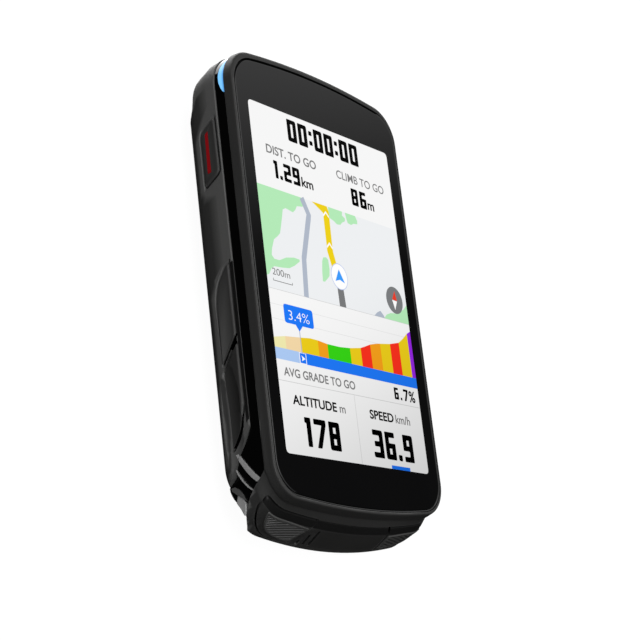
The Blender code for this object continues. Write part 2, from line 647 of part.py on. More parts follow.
def make_port_cover(parts, tools):
    wide, tall, thick = COVER_SIZE
    cover = box("usb_port_cover", (-wide / 2, -tall, 0), (wide / 2, 0.3, thick), parts)
    plug = box("cover_plug", (-4.0, -4.5, thick - 0.1), (4.0, -2.5, thick + 0.9), tools)
    fuse(cover, plug)
    own_material(cover, "rubber")
    cover.data.transform(Matrix.Rotation(-COVER_TILT, 4, "X"))
    cover.location = millimetres((0, *COVER_HINGE))
    plug.data.transform(Matrix.Rotation(-COVER_TILT, 4, "X"))
    plug.location = cover.location


# ---------------------------------------------------------------- back

def turned(name, profile, collection, steps=40):
    """Solid of revolution about Z from (radius, z) points, given down the outer side."""
    bm = bmesh.new()
    verts = [bm.verts.new(millimetres((r, 0, z))) for r, z in profile]
    for a, b in zip(verts, verts[1:]):
        bm.edges.new((a, b))
    mesh = bpy.data.meshes.new(name)
    bm.to_mesh(mesh)
    bm.free()
    obj = bpy.data.objects.new(name, mesh)
    collection.objects.link(obj)
    screw = obj.modifiers.new("turn", "SCREW")
    screw.axis = "Z"
    screw.angle = 2 * pi
    screw.steps = steps
    screw.render_steps = steps
    screw.use_merge_vertices = True
    screw.merge_threshold = 1e-6
    return obj


def make_mount(parts, tools):
    top = BACK_FLAT - 0.05
    flange = top - MOUNT_FLANGE_T
    tabs = -THICKNESS + MOUNT_TAB_T
    profile = [(0, top), (MOUNT_FLANGE_R - 0.3, top), (MOUNT_FLANGE_R, top - 0.3),
               (MOUNT_FLANGE_R, flange + 0.2), (MOUNT_FLANGE_R - 0.2, flange), (MOUNT_NECK_R, flange),
               (MOUNT_NECK_R, tabs), (MOUNT_TAB_R, tabs), (MOUNT_TAB_R, -THICKNESS + 0.3),
               (MOUNT_TAB_R - 0.3, -THICKNESS), (3.2, -THICKNESS), (3.0, -THICKNESS + 0.2),
               (3.0, -THICKNESS + 0.8), (0, -THICKNESS + 0.8)]
    insert = turned("mount_insert", profile, parts)
    for side in (-1, 1):
        name = "left" if side < 0 else "right"
        near, far = sorted((side * (MOUNT_NECK_R + 0.05), side * 20))
        cut(insert, box(name + "_tab_relief", (near, -20, -20), (far, 20, flange - 0.02), tools))
    for i, (x, y) in enumerate(mount_screw_places(), 1):
        cut(insert, cylinder(f"insert_bore_{i}", (x, y, -10), (x, y, -20), 0.85, tools, 12))
        cut(insert, cylinder(f"insert_head_bore_{i}", (x, y, -17.0), (x, y, -20), 1.75, tools, 16))
        screw = cylinder(f"mount_screw_{i}", (x, y, -13.9), (x, y, -17.3), 0.7, parts, 12)
        head = cylinder(f"mount_screw_head_{i}", (x, y, -17.1), (x, y, -18.2), 1.6, tools, 16)
        fuse(screw, head)
        cut(screw, cylinder(f"mount_screw_socket_{i}", (x, y, -17.6), (x, y, -19), 0.7, tools, 6))
        own_material(screw, "steel")
    own_material(insert, "grey")


def make_case_screws(parts, tools):
    for i, (x, y) in enumerate(CASE_SCREWS, 1):
        seat = SCREW_SEATS[y > 0] - REST_GAP
        screw = cylinder(f"case_screw_{i}", (x, y, -3.7), (x, y, seat - 0.2), 0.8, parts, 12)
        head = cylinder(f"case_screw_head_{i}", (x, y, seat), (x, y, seat - 1.0), 1.6, tools, 16)
        fuse(screw, head)
        cut(screw, cylinder(f"case_screw_socket_{i}", (x, y, seat - 0.4), (x, y, seat - 2), 0.7,
                            tools, 6))
        own_material(screw, "steel")


def place_all(parts, tools):
    datum = bpy.data.objects.new("screen_datum", None)
    parts.objects.link(datum)
    datum.location = millimetres((0, DATUM_Y, THICKNESS))
    for obj in list(parts.objects) + list(tools.objects):
        if obj is not datum:
            obj.parent = datum


def main():
    clear_scene()
    parts = make_collection("cycling_computer")
    tools = make_collection("cutters")
    make_front(parts, tools)
    make_mid_housing(parts, tools)
    make_lights(parts, tools)
    make_rear_shell(parts, tools)
    make_side_keys(parts, tools)
    make_front_keys(parts, tools)
    make_chin_panel(parts, tools)
    make_electronics(parts, tools)
    make_port_cover(parts, tools)
    make_mount(parts, tools)
    make_case_screws(parts, tools)
    place_all(parts, tools)


main()
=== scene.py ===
import json
from math import atan2, cos, pi, radians, sin, sqrt

import bmesh
import bpy
from mathutils import Matrix, Vector


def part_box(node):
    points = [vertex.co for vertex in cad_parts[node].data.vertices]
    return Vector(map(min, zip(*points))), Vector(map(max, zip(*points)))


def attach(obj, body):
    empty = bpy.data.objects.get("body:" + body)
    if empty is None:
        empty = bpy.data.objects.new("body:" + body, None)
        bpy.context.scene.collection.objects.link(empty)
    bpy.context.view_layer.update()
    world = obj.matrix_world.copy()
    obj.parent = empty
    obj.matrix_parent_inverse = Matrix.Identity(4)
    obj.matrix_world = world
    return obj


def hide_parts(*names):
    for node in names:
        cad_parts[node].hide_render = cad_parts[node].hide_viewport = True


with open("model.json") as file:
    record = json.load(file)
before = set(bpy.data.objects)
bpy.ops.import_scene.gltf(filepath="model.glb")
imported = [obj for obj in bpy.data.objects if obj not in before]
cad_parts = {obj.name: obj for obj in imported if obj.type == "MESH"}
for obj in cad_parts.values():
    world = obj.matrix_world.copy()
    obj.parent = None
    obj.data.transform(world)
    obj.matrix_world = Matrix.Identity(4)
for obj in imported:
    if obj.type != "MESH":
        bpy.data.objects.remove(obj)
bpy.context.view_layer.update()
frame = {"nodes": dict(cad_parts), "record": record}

# Everything below is drawn in the screen's frame: millimetres from the middle of the glass face,
# x to the right, y to the top end, z out of the screen. DATUM is that point in the row frame.
MM = 0.001
glass_low, glass_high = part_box("cover_glass")
DATUM = Vector((0.0, (glass_low.y + glass_high.y) / 2 - 0.7 * MM, glass_high.z))


def at(x, y, z):
    return Vector((x, y, z)) * MM + DATUM


# ---------- shape helpers

def arc(cx, cy, r, start, end, steps):
    turns = [start + (end - start) * i / steps for i in range(steps + 1)]
    return [(cx + r * cos(a), cy + r * sin(a)) for a in turns]


CORNER_STEPS, END_STEPS, SIDE_STEPS = 18, 10, 44


def outline(half_w, top, bottom, r_top, r_bottom, bow_top, bow_bottom):
    """Plan outline with straight sides, bowed ends and round corners, counter-clockwise."""
    low_cy = bottom + bow_bottom
    low_x = half_w - r_bottom
    low_y = low_cy - sqrt((bow_bottom - r_bottom) ** 2 - low_x ** 2)
    low_turn = atan2(low_x, low_cy - low_y)
    high_cy = top - bow_top
    high_x = half_w - r_top
    high_y = high_cy + sqrt((bow_top - r_top) ** 2 - high_x ** 2)
    high_turn = atan2(high_x, high_y - high_cy)
    right = arc(0, low_cy, bow_bottom, -pi / 2, -pi / 2 + low_turn, END_STEPS)[:-1]
    right += arc(low_x, low_y, r_bottom, -pi / 2 + low_turn, 0, CORNER_STEPS)
    side = high_y - low_y
    right += [(half_w, low_y + side * i / SIDE_STEPS) for i in range(1, SIDE_STEPS)]
    right += arc(high_x, high_y, r_top, 0, pi / 2 - high_turn, CORNER_STEPS)
    right += arc(0, high_cy, bow_top, pi / 2 - high_turn, pi / 2, END_STEPS)[1:]
    left = [(-x, y) for x, y in reversed(right[1:-1])]
    return right + left


def rect(left, right, low, high):
    return [(left, low), (right, low), (right, high), (left, high)]


def inset(ring, amount):
    """A ring of loft() drawn smaller by amount all round."""
    z, half_w, top, bottom, r_top, r_bottom, bow_top, bow_bottom = ring
    return (z, half_w - amount, top - amount, bottom + amount,
            max(r_top - amount, 0.6), max(r_bottom - amount, 0.6), bow_top, bow_bottom)


def new_object(name, bm):
    bmesh.ops.recalc_face_normals(bm, faces=bm.faces)
    mesh = bpy.data.meshes.new(name)
    bm.to_mesh(mesh)
    bm.free()
    obj = bpy.data.objects.new(name, mesh)
    bpy.context.scene.collection.objects.link(obj)
    return obj


def bridged(name, rings):
    """Solid through rings of points, one ring joined to the next, with both ends closed."""
    bm = bmesh.new()
    loops = [[bm.verts.new(point) for point in ring] for ring in rings]
    count = len(loops[0])
    for a, b in zip(loops, loops[1:]):
        for i in range(count):
            j = (i + 1) % count
            bm.faces.new((a[i], a[j], b[j], b[i]))
    bm.faces.new(loops[0])
    bm.faces.new(loops[-1])
    return new_object(name, bm)


def loft(name, rings):
    """Solid through plan outlines. A ring is its z, then what outline() takes."""
    return bridged(name, [[at(x, y, ring[0]) for x, y in outline(*ring[1:])] for ring in rings])


def slab(name, plan, low, high):
    return loft(name, [(high, *plan), (low, *plan)])


def plan_of(ring, amount=0.0):
    return inset((0.0, *ring), amount)[1:]


AXIS_POINT = {
    "X": lambda u, v, w: (w, u, v),
    "Y": lambda u, v, w: (u, w, v),
    "Z": lambda u, v, w: (u, v, w),
}


def prism(name, points, low, high, axis):
    """Outline extruded along an axis. Points are (y, z) for X, (x, z) for Y, (x, y) for Z."""
    place = AXIS_POINT[axis]
    return bridged(name, [[at(*place(u, v, w)) for u, v in points] for w in (low, high)])


def tiered(name, face, radii, tiers, axis):
    """Outline extruded through (place, growth) tiers along an axis, for real chamfered edges."""
    place = AXIS_POINT[axis]
    rings = [(w, rounded(grow(face, growth), radii)) for w, growth in tiers]
    return bridged(name, [[at(*place(u, v, w)) for u, v in ring] for w, ring in rings])


def box(name, low, high):
    return prism(name, rect(low[0], high[0], low[1], high[1]), low[2], high[2], "Z")


def rod(name, start, end, radius, sides=32):
    bm = bmesh.new()
    along = (Vector(end) - Vector(start)) * MM
    bmesh.ops.create_cone(bm, cap_ends=True, segments=sides, radius1=radius * MM, radius2=radius * MM,
                          depth=along.length)
    turn = along.to_track_quat("Z", "Y").to_matrix().to_4x4()
    bmesh.ops.transform(bm, matrix=Matrix.Translation(at(*start) + along / 2) @ turn, verts=bm.verts)
    return new_object(name, bm)


def ellipsoid(name, centre, radii):
    bm = bmesh.new()
    bmesh.ops.create_uvsphere(bm, u_segments=48, v_segments=32, radius=MM)
    scale = Matrix.Diagonal((*radii, 1.0))
    bmesh.ops.transform(bm, matrix=Matrix.Translation(at(*centre)) @ scale, verts=bm.verts)
    return new_object(name, bm)


def turned(name, profile, steps):
    """Solid of revolution about the mount's axis from (radius, z) points."""
    bm = bmesh.new()
    rings = []
    for r, z in profile:
        turns = [2 * pi * i / steps for i in range(steps if r else 1)]
        rings.append([bm.verts.new(at(r * cos(turn), r * sin(turn), z)) for turn in turns])
    for a, b in zip(rings, rings[1:]):
        for i in range(steps):
            j = (i + 1) % steps
            corners = [a[i % len(a)], a[j % len(a)], b[j % len(b)], b[i % len(b)]]
            bm.faces.new(list(dict.fromkeys(corners)))
    return new_object(name, bm)


def grow(points, amount):
    """Closed outline moved outwards by amount along its corner normals."""
    area = sum(a[0] * b[1] - b[0] * a[1] for a, b in zip(points, points[1:] + points[:1]))
    side = 1 if area > 0 else -1
    moved = []
    for i, here in enumerate(points):
        before = Vector(here) - Vector(points[i - 1])
        after = Vector(points[(i + 1) % len(points)]) - Vector(here)
        n1 = Vector((before.y, -before.x)).normalized() * side
        n2 = Vector((after.y, -after.x)).normalized() * side
        mitre = (n1 + n2) / max(1.0 + n1.dot(n2), 0.5)
        moved.append(tuple(Vector(here) + mitre * amount))
    return moved


def rounded(points, radii, steps=5):
    """The outline with each corner replaced by an arc-like curve of that radius."""
    result = []
    for i, here in enumerate(points):
        radius = radii[i] if isinstance(radii, (list, tuple)) else radii
        p = Vector(here)
        a = Vector(points[i - 1]) - p
        b = Vector(points[(i + 1) % len(points)]) - p
        reach = min(radius, a.length * 0.45, b.length * 0.45)
        start = p + a.normalized() * reach
        stop = p + b.normalized() * reach
        if reach < 0.02:
            result.append(tuple(p))
            continue
        for k in range(steps + 1):
            t = k / steps
            result.append(tuple(start * (1 - t) ** 2 + p * 2 * t * (1 - t) + stop * t ** 2))
    return result


def mirrored(points):
    return [(-x, y) for x, y in points]


def boolean(obj, operation, *others):
    for other in others:
        modifier = obj.modifiers.new(operation.lower(), "BOOLEAN")
        modifier.operation = operation
        modifier.object = other
    freeze(obj)
    for other in others:
        drop(other)


def cut(obj, *others):
    boolean(obj, "DIFFERENCE", *others)


def keep(obj, *others):
    boolean(obj, "INTERSECT", *others)


def fuse(obj, *others):
    boolean(obj, "UNION", *others)


def drop(obj):
    mesh = obj.data
    bpy.data.objects.remove(obj, do_unlink=True)
    bpy.data.meshes.remove(mesh)


def freeze(obj):
    """Applies the modifiers on obj."""
    ready = obj.evaluated_get(bpy.context.evaluated_depsgraph_get())
    mesh = bpy.data.meshes.new_from_object(ready)
    mesh.name = obj.name
    obj.modifiers.clear()
    old = obj.data
    obj.data = mesh
    bpy.data.meshes.remove(old)


def tidy_mesh(obj):
    """Merges the slivers that a cut leaves along its edge."""
    bm = bmesh.new()
    bm.from_mesh(obj.data)
    bmesh.ops.remove_doubles(bm, verts=bm.verts, dist=0.01 * MM)
    bmesh.ops.dissolve_degenerate(bm, edges=bm.edges, dist=0.005 * MM)
    bm.to_mesh(obj.data)
    bm.free()


def soften(obj, width, segments=2, angle=32):
    tidy_mesh(obj)
    modifier = obj.modifiers.new("edge", "BEVEL")
    modifier.width = width * MM
    modifier.segments = segments
    modifier.limit_method = "ANGLE"
    modifier.angle_limit = radians(angle)
    modifier.use_clamp_overlap = True
    modifier.harden_normals = True
    obj.data.shade_smooth()
    weighted = obj.modifiers.new("normals", "WEIGHTED_NORMAL")
    weighted.keep_sharp = True


def piece(obj, body, material, nodes=()):
    """Says which body carries obj, its finish and the CAD nodes that it stands for."""
    obj.data.materials.clear()
    obj.data.materials.append(material)
    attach(obj, body)
    if nodes:
        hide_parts(*nodes)


def finish_faces(obj, finish, chosen):
    """A further finish for the faces that chosen picks by their place in millimetres and normal."""
    obj.data.materials.append(finish)
    for polygon in obj.data.polygons:
        if chosen((polygon.center - DATUM) / MM, polygon.normal):
            polygon.material_index = len(obj.data.materials) - 1


# ---------- materials

def new_material(name):
    """A new material, its node tree and its shader."""
    made = bpy.data.materials.new(name)
    made.use_nodes = True
    return made, made.node_tree, made.node_tree.nodes["Principled BSDF"]


def feed(tree, node, inputs):
    """Sets a node's inputs, each from a value or from another node's output."""
    for name, value in inputs.items():
        if isinstance(value, bpy.types.NodeSocket):
            tree.links.new(value, node.inputs[name])
        else:
            node.inputs[name].default_value = value


def add(tree, kind, inputs, output, **settings):
    """Adds a shader node and returns one of its outputs."""
    node = tree.nodes.new("ShaderNode" + kind)
    for name, value in settings.items():
        setattr(node, name, value)
    feed(tree, node, inputs)
    return node.outputs[output]


def material(name, colour, roughness, metallic=0.0, grain=0.0, grain_scale=900.0, vary=0.15,
             rough_vary=0.08, specular=0.5, edge_wear_and_highlight=0.0):
    """Moulded surface: fine grain in the bump, slow drift in colour and roughness, lighter edges that are
    part wear and part painted highlight.
    """
    made, tree, shader = new_material(name)
    place = add(tree, "TexCoord", {}, "Object")
    drift = add(tree, "TexNoise", {"Scale": 60.0, "Detail": 4.0, "Vector": place}, "Fac")
    shade = add(tree, "MapRange", {"To Min": 1.0 - vary, "To Max": 1.0 + vary, "Value": drift}, "Result")
    tint = add(tree, "Mix", {"Factor": 1.0, "A": (*colour, 1.0), "B": shade}, "Result",
               data_type="RGBA", blend_type="MULTIPLY")
    # Pointiness lightens the convex edges: part wear, part painted highlight along the edges.
    if edge_wear_and_highlight:
        sharp = add(tree, "NewGeometry", {}, "Pointiness")
        edge = add(tree, "MapRange", {"From Min": 0.52, "From Max": 0.62, "To Max": edge_wear_and_highlight, "Value": sharp},
                   "Result")
        worn_and_lit_colour = (*[min(1.0, c * 3.0 + 0.03) for c in colour], 1.0)
        tint = add(tree, "Mix", {"Factor": edge, "A": tint, "B": worn_and_lit_colour}, "Result", data_type="RGBA")
    gloss = add(tree, "MapRange", {"To Min": max(roughness - rough_vary, 0.02),
                                   "To Max": min(roughness + rough_vary, 1.0), "Value": drift}, "Result")
    feed(tree, shader, {"Base Color": tint, "Roughness": gloss, "Metallic": metallic,
                        "Specular IOR Level": specular})
    if grain:
        texture = add(tree, "TexNoise", {"Scale": grain_scale, "Detail": 3.0, "Vector": place}, "Fac")
        bump = add(tree, "Bump", {"Strength": grain, "Distance": 0.00006, "Height": texture}, "Normal")
        feed(tree, shader, {"Normal": bump})
    return made


def lit(name, colour, strength=1.0):
    """Display layer: a faint pixel weave, and light that falls off towards the lower right corner."""
    made, tree, shader = new_material(name)
    place = add(tree, "TexCoord", {}, "Object")
    across = add(tree, "VectorMath", {0: place, 1: (-0.45, 1.0, 0.0)}, "Value", operation="DOT_PRODUCT")
    fall = add(tree, "MapRange", {"From Min": DATUM.y - 0.075, "From Max": DATUM.y + 0.005,
                                  "Value": across}, "Result", interpolation_type="SMOOTHSTEP")
    weave = add(tree, "TexNoise", {"Scale": 4000.0, "Vector": place}, "Fac")
    fine = add(tree, "MapRange", {"To Min": 0.985, "To Max": 1.015, "Value": weave}, "Result")
    dim = (*[c * 0.55 for c in colour], 1.0)
    blend = add(tree, "Mix", {"Factor": fall, "A": dim, "B": (*colour, 1.0)}, "Result", data_type="RGBA")
    tint = add(tree, "Mix", {"Factor": 1.0, "A": blend, "B": fine}, "Result", data_type="RGBA",
               blend_type="MULTIPLY")
    feed(tree, shader, {"Base Color": (0.0, 0.0, 0.0, 1.0), "Roughness": 0.06, "Specular IOR Level": 0.04,
                        "Emission Strength": strength, "Emission Color": tint})
    return made


def srgb(code):
    values = [int(code[i:i + 2], 16) / 255 for i in (0, 2, 4)]
    return tuple(v / 12.92 if v <= 0.04045 else ((v + 0.055) / 1.055) ** 2.4 for v in values)


# The shell's strongly lightened edges are mostly painted highlight along the rims and key edges, with some
# wear.
SHELL = material("shell_black", (0.023, 0.023, 0.0225), 0.50, grain=0.35, grain_scale=2600, edge_wear_and_highlight=0.8,
                 specular=0.38)
# Darker, smoother copy of the shell black: painted shade for faces under the frame's overhang and along
# recesses.
SHELL_SHADED = material("shell_black_smooth_painted_shade", (0.007, 0.007, 0.007), 0.42, grain=0.1, grain_scale=2600,
                       specular=0.2)
PAD = material("key_pad_black", (0.055, 0.055, 0.054), 0.50, grain=0.3, grain_scale=3000, edge_wear_and_highlight=0.3)
GLOSS = material("inner_gloss_black", (0.0006, 0.0006, 0.0006), 0.06, rough_vary=0.02, vary=0.3)
GLASS = material("glass_black", (0.0034, 0.0034, 0.0036), 0.06, rough_vary=0.02)
# Light grey for the ledges on the glossy corners: painted reflection streaks.
GLOSS_STREAK_HIGHLIGHT = material("inner_gloss_painted_streak", (0.34, 0.34, 0.34), 0.16, rough_vary=0.03, vary=0.1)
RED = material("red_insert", srgb("9A0812"), 0.45, grain=0.2, grain_scale=2400, specular=0.2)
RUBBER = material("rubber_black", (0.016, 0.016, 0.016), 0.78, grain=0.7, grain_scale=1800, edge_wear_and_highlight=0.3)
STEEL = material("steel_brushed", (0.50, 0.50, 0.51), 0.32, 1.0, grain=0.25, grain_scale=1500,
                 rough_vary=0.12)
MOUNT = material("mount_grey", (0.055, 0.055, 0.058), 0.48, grain=0.5, grain_scale=2200, edge_wear_and_highlight=0.5)
BOARD = material("board_green", (0.010, 0.085, 0.040), 0.45, grain=0.3, grain_scale=700)
FILM = material("film_amber", (0.30, 0.13, 0.03), 0.38, grain=0.2, grain_scale=500)
CELL = material("cell_pouch", (0.42, 0.43, 0.45), 0.36, 0.3, grain=0.5, grain_scale=350)
CERAMIC = material("ceramic_pale", (0.72, 0.66, 0.55), 0.62, grain=0.4, grain_scale=1600)
INNER_GREY = material("inner_grey", (0.08, 0.08, 0.085), 0.5, grain=0.4, grain_scale=1800)
PANEL_LIT = material("display_stack", (0.80, 0.81, 0.84), 0.3, grain=0.1)


# ---------- plan outlines (mm)

GLASS_PLAN = (28.1, 47.5, -46.1, 6.6, 6.8, 190, 200)
BAND_PLAN = (29.1, 49.0, -46.0, 7.6, 7.4, 230, 190)
RIM_TOP = 0.04
RIM_RINGS = [
    (0.04, 28.84, 48.20, -46.92, 7.1, 7.0, 196, 200),
    (-0.02, 28.95, 48.62, -47.04, 7.2, 7.1, 198, 200),
    (-0.11, 29.03, 48.88, -47.13, 7.3, 7.2, 200, 200),
    (-0.24, 29.09, 49.08, -47.22, 7.4, 7.3, 202, 200),
    (-0.50, 29.12, 49.26, -47.32, 7.5, 7.4, 205, 200),
    (-0.85, 29.14, 49.39, -47.45, 7.7, 7.5, 208, 199),
    (-1.40, 29.17, 49.46, -47.64, 7.9, 7.6, 210, 198),
    (-1.90, 29.21, 49.48, -47.80, 7.9, 7.7, 210, 194),
    (-2.06, 29.22, 49.46, -47.82, 7.9, 7.7, 210, 190),
    (-2.22, 29.19, 49.40, -47.74, 7.9, 7.6, 210, 188),
]


def flare_lower_edge(obj):
    """The frame's lower edge turns slightly outwards towards the bottom end."""
    for vert in obj.data.vertices:
        x, y, z = (vert.co - DATUM) / MM
        if abs(x) > 28.9 and -2.3 < z < -1.7:
            vert.co.x += 0.12 * ramp(-y, 5.0, 36.0) * MM * (1 if x > 0 else -1)


CHIN_RINGS = [(z, half_w, 49.0, bottom, 7.8, r, 230, bow) for z, half_w, bottom, r, bow in (
    (-2.45, 29.26, -47.98, 8.0, 175),
    (-3.05, 29.34, -48.72, 8.3, 158),
    (-3.42, 29.40, -49.12, 8.4, 150),
    (-4.10, 29.46, -49.86, 8.4, 150),
    (-4.72, 29.49, -50.52, 8.4, 150),
    (-5.00, 29.49, -50.74, 8.4, 149),
    (-7.00, 29.44, -51.56, 8.3, 143),
    (-9.00, 29.37, -52.36, 8.1, 137),
    (-10.60, 29.31, -52.98, 8.0, 131),
    (-11.05, 29.20, -53.06, 7.9, 130),
    (-11.30, 28.95, -52.86, 7.8, 130),
    (-11.42, 28.60, -52.50, 7.7, 130))]
CHIN_ROOM = [
    (-2.0, 27.6, 47.0, -45.9, 6.0, 6.2, 230, 190),
    (-3.40, 27.6, 47.0, -47.2, 6.0, 6.2, 230, 150),
    (-4.80, 27.6, 47.0, -48.7, 6.0, 6.4, 230, 150),
    (-11.9, 27.6, 47.0, -51.4, 6.0, 6.4, 230, 130),
]
CHIN_BACK = [(-39.6, -2.24), (-40.3, -2.5), (-42.0, -4.0), (-42.9, -5.0), (-44.2, -6.3), (-44.9, -7.0),
    (-46.0, -7.8), (-46.8, -8.5), (-47.7, -9.15), (-48.6, -9.75), (-49.5, -10.4), (-50.2, -11.2),
    (-50.5, -12.0)]
KEY_FACE = [(-27.35, -3.57), (-12.35, -3.57), (-12.9, -4.7), (-14.95, -10.35), (-18.5, -10.4),
    (-21.5, -10.2), (-23.6, -9.7), (-25.3, -8.85), (-26.7, -7.5), (-27.7, -5.7)]
KEY_CORNERS = (1.0, 0.25, 0.0, 0.3, 0.6, 1.0, 1.0, 1.0, 1.0, 1.0)
PANEL_FACE = [(-12.2, -3.57), (12.2, -3.57), (12.75, -4.7), (14.75, -10.6), (-14.75, -10.6),
    (-12.75, -4.7)]
EDGE_STRIP = 0.55
SLOTS = (((-9.85, -5.15), (-8.35, -9.75)), ((-11.35, -6.45), (-10.05, -9.95)),
    ((-12.45, -8.65), (-12.0, -9.95)))


def front_y(x, z):
    """Where the chin's outer surface lies at that x and depth."""
    rings = [RIM_RINGS[-1]] + CHIN_RINGS
    z = max(min(z, rings[0][0]), rings[-1][0])
    for a, b in zip(rings, rings[1:]):
        if a[0] >= z >= b[0]:
            t = (a[0] - z) / (a[0] - b[0])
            ring = [u + (v - u) * t for u, v in zip(a, b)]
            break
    _, half_w, _, bottom, _, r, _, bow = ring
    cy = bottom + bow
    lx = half_w - r
    ly = cy - sqrt((bow - r) ** 2 - lx ** 2)
    x = abs(x)
    if x <= lx * bow / (bow - r):
        return cy - sqrt(bow ** 2 - x * x)
    return ly - sqrt(max(r * r - (x - lx) ** 2, 0.0))


def shell_between(name, outer, depth, face, high=-43.4):
    """The part of the chin's skin under an outline, depth thick."""
    skin = loft(name, [(outer[0][0] + 0.2, *outer[0][1:])] + outer)
    core = [inset(ring, depth) for ring in outer]
    core = [(2.0, *core[0][1:])] + core + [(-14.0, *core[-1][1:])]
    keep(skin, prism("face", face, -60.0, high, "Y"))
    cut(skin, loft("core", core))
    return skin


# ---------- front frame

def make_frame():
    body = loft("front_frame_body", RIM_RINGS + CHIN_RINGS)
    flare_lower_edge(body)
    below = [(60.0, -2.24), *CHIN_BACK, (60.0, -12.0)]
    cut(body, prism("below", below, -40, 40, "X"))
    pocket = [(1.0, *plan_of(GLASS_PLAN, -0.46)), (RIM_TOP + 0.001, *plan_of(GLASS_PLAN, -0.46)),
        (-0.17, *plan_of(GLASS_PLAN, -0.06)), (-1.25, *plan_of(GLASS_PLAN, -0.06))]
    cut(body, loft("pocket", pocket))
    cut(body, slab("window", plan_of(GLASS_PLAN, 2.2), -6.0, 2.0))
    room = loft("room", CHIN_ROOM)
    keep(room, prism("room_side", [(-30, 0), (-30, -20), (-60, -20), (-60, -2.0), (-39.0, -2.0)],
                     -40, 40, "X"))
    cut(body, room)
    for face in (KEY_FACE, mirrored(KEY_FACE)):
        cut(body, prism("key_opening", rounded(grow(face, 0.26), KEY_CORNERS), -60, -40.8, "Y"))
    cut(body, prism("panel_opening", grow(PANEL_FACE, 0.14), -60, -44, "Y"))
    soften(body, 0.13)
    piece(body, "unit", SHELL, ["front_frame"])
    finish_faces(body, GLOSS, lambda p, n: p.z > -1.3 and n.z < 0.95 and n.x * p.x + n.y * p.y < 0)


# ---------- glass and display

def make_glass():
    pane = loft("cover_glass_pane", [
        (0.0, *plan_of(GLASS_PLAN, 0.22)), (-0.06, *plan_of(GLASS_PLAN, 0.06)),
        (-0.2, *plan_of(GLASS_PLAN, 0.0)), (-0.9, *plan_of(GLASS_PLAN, 0.0))])
    pane.data.shade_smooth()
    weighted = pane.modifiers.new("normals", "WEIGHTED_NORMAL")
    weighted.weight = 90
    piece(pane, "unit", GLASS, ["cover_glass"])


# ---------- keys on the chin

PAD_FACE = [(-26.05, -4.85), (-22.9, -4.62), (-18.8, -4.66), (-13.25, -4.95), (-14.95, -9.85),
    (-18.1, -9.85), (-20.7, -9.45), (-22.8, -8.9), (-24.4, -7.9), (-25.5, -6.4)]
RIB_PITCH = 0.315
RIB_FIRST = -48.22


def inside_distance(point, polygon):
    """Distance from a point inside the polygon to its nearest side, negative outside."""
    nearest = 1e9
    inside = False
    px, py = point
    for i, a in enumerate(polygon):
        b = polygon[(i + 1) % len(polygon)]
        dx, dy = b[0] - a[0], b[1] - a[1]
        t = max(0.0, min(1.0, ((px - a[0]) * dx + (py - a[1]) * dy) / (dx * dx + dy * dy)))
        nearest = min(nearest, sqrt((a[0] + t * dx - px) ** 2 + (a[1] + t * dy - py) ** 2))
        if (a[1] > py) != (b[1] > py) and px < a[0] + (py - a[1]) / dy * dx:
            inside = not inside
    return nearest if inside else -nearest


def ramp(value, low, high):
    t = max(0.0, min(1.0, (value - low) / (high - low)))
    return t * t * (3 - 2 * t)


def make_pad(name, side, body):
    """Ribbed grip on a front key: a raised lens with a plain rim and level ribs inside it."""
    face = [(x - EDGE_STRIP * (side > 0 and x > -15), z) for x, z in PAD_FACE]
    face = rounded(face, (0.5, 1.0, 1.0, 0.5, 0.5, 1.0, 1.2, 1.2, 1.2, 1.2))
    bm = bmesh.new()
    step_x = 0.10
    step_z = 0.075
    count_x = int(13.6 / step_x)
    count_z = int(5.8 / step_z)
    grid = {}
    for i in range(count_x + 1):
        for k in range(count_z + 1):
            x = -26.5 + step_x * i
            z = -10.15 + step_z * k
            inner = inside_distance((x, z), face)
            if inner < -0.02:
                continue
            y = front_y(x, z)
            slope_x = (front_y(x + 0.1, z) - front_y(x - 0.1, z)) / 0.2
            slope_z = (front_y(x, z + 0.1) - front_y(x, z - 0.1)) / 0.2
            normal = Vector((slope_x, -1.0, slope_z)).normalized()
            height = -0.12 + 0.30 * ramp(inner, -0.02, 0.16)
            wave = 0.5 + 0.5 * cos(2 * pi * (y - RIB_FIRST) / RIB_PITCH)
            zone = ramp(inner, 0.42, 0.60) * ramp(RIB_FIRST + 0.16 - y, 0.0, 0.04)
            height -= 0.26 * zone * ramp(wave, 0.40, 0.70)
            grid[i, k] = bm.verts.new(at((x + normal.x * height) * -side, y + normal.y * height,
                                         z + normal.z * height))
    for i, k in list(grid):
        corners = [(i, k), (i + 1, k), (i + 1, k + 1), (i, k + 1)]
        if all(c in grid for c in corners):
            bm.faces.new([grid[c] for c in corners])
    loose = [v for v in bm.verts if not v.link_faces]
    bmesh.ops.delete(bm, geom=loose, context="VERTS")
    rim = [e for e in bm.edges if e.is_boundary]
    made = bmesh.ops.extrude_edge_only(bm, edges=rim)
    for vert in (v for v in made["geom"] if isinstance(v, bmesh.types.BMVert)):
        vert.co.y += 0.35 * MM
    pad = new_object(name, bm)
    pad.data.shade_smooth()
    piece(pad, body, PAD)


def make_front_keys():
    for side, name in ((-1, "left_key"), (1, "right_key")):
        face = KEY_FACE if side < 0 else [(x + EDGE_STRIP * (x < 15.5), z) for x, z in mirrored(KEY_FACE)]
        face = rounded(grow(face, -0.08), KEY_CORNERS)
        key = shell_between(name + "_cap", CHIN_RINGS[2:], 1.9, face)
        fuse(key, rod("stem", (side * 20.0, -49.0, -6.5), (side * 20.0, -45.1, -6.5), 0.8))
        soften(key, 0.16)
        body = "left_front_key" if side < 0 else "right_front_key"
        piece(key, body, SHELL, [name])
        # The key's upper band under the frame gets the darker shell copy: painted shade.
        finish_faces(key, SHELL_SHADED, lambda p, n: p.z > -4.75)
        make_pad(name + "_grip", side, body)


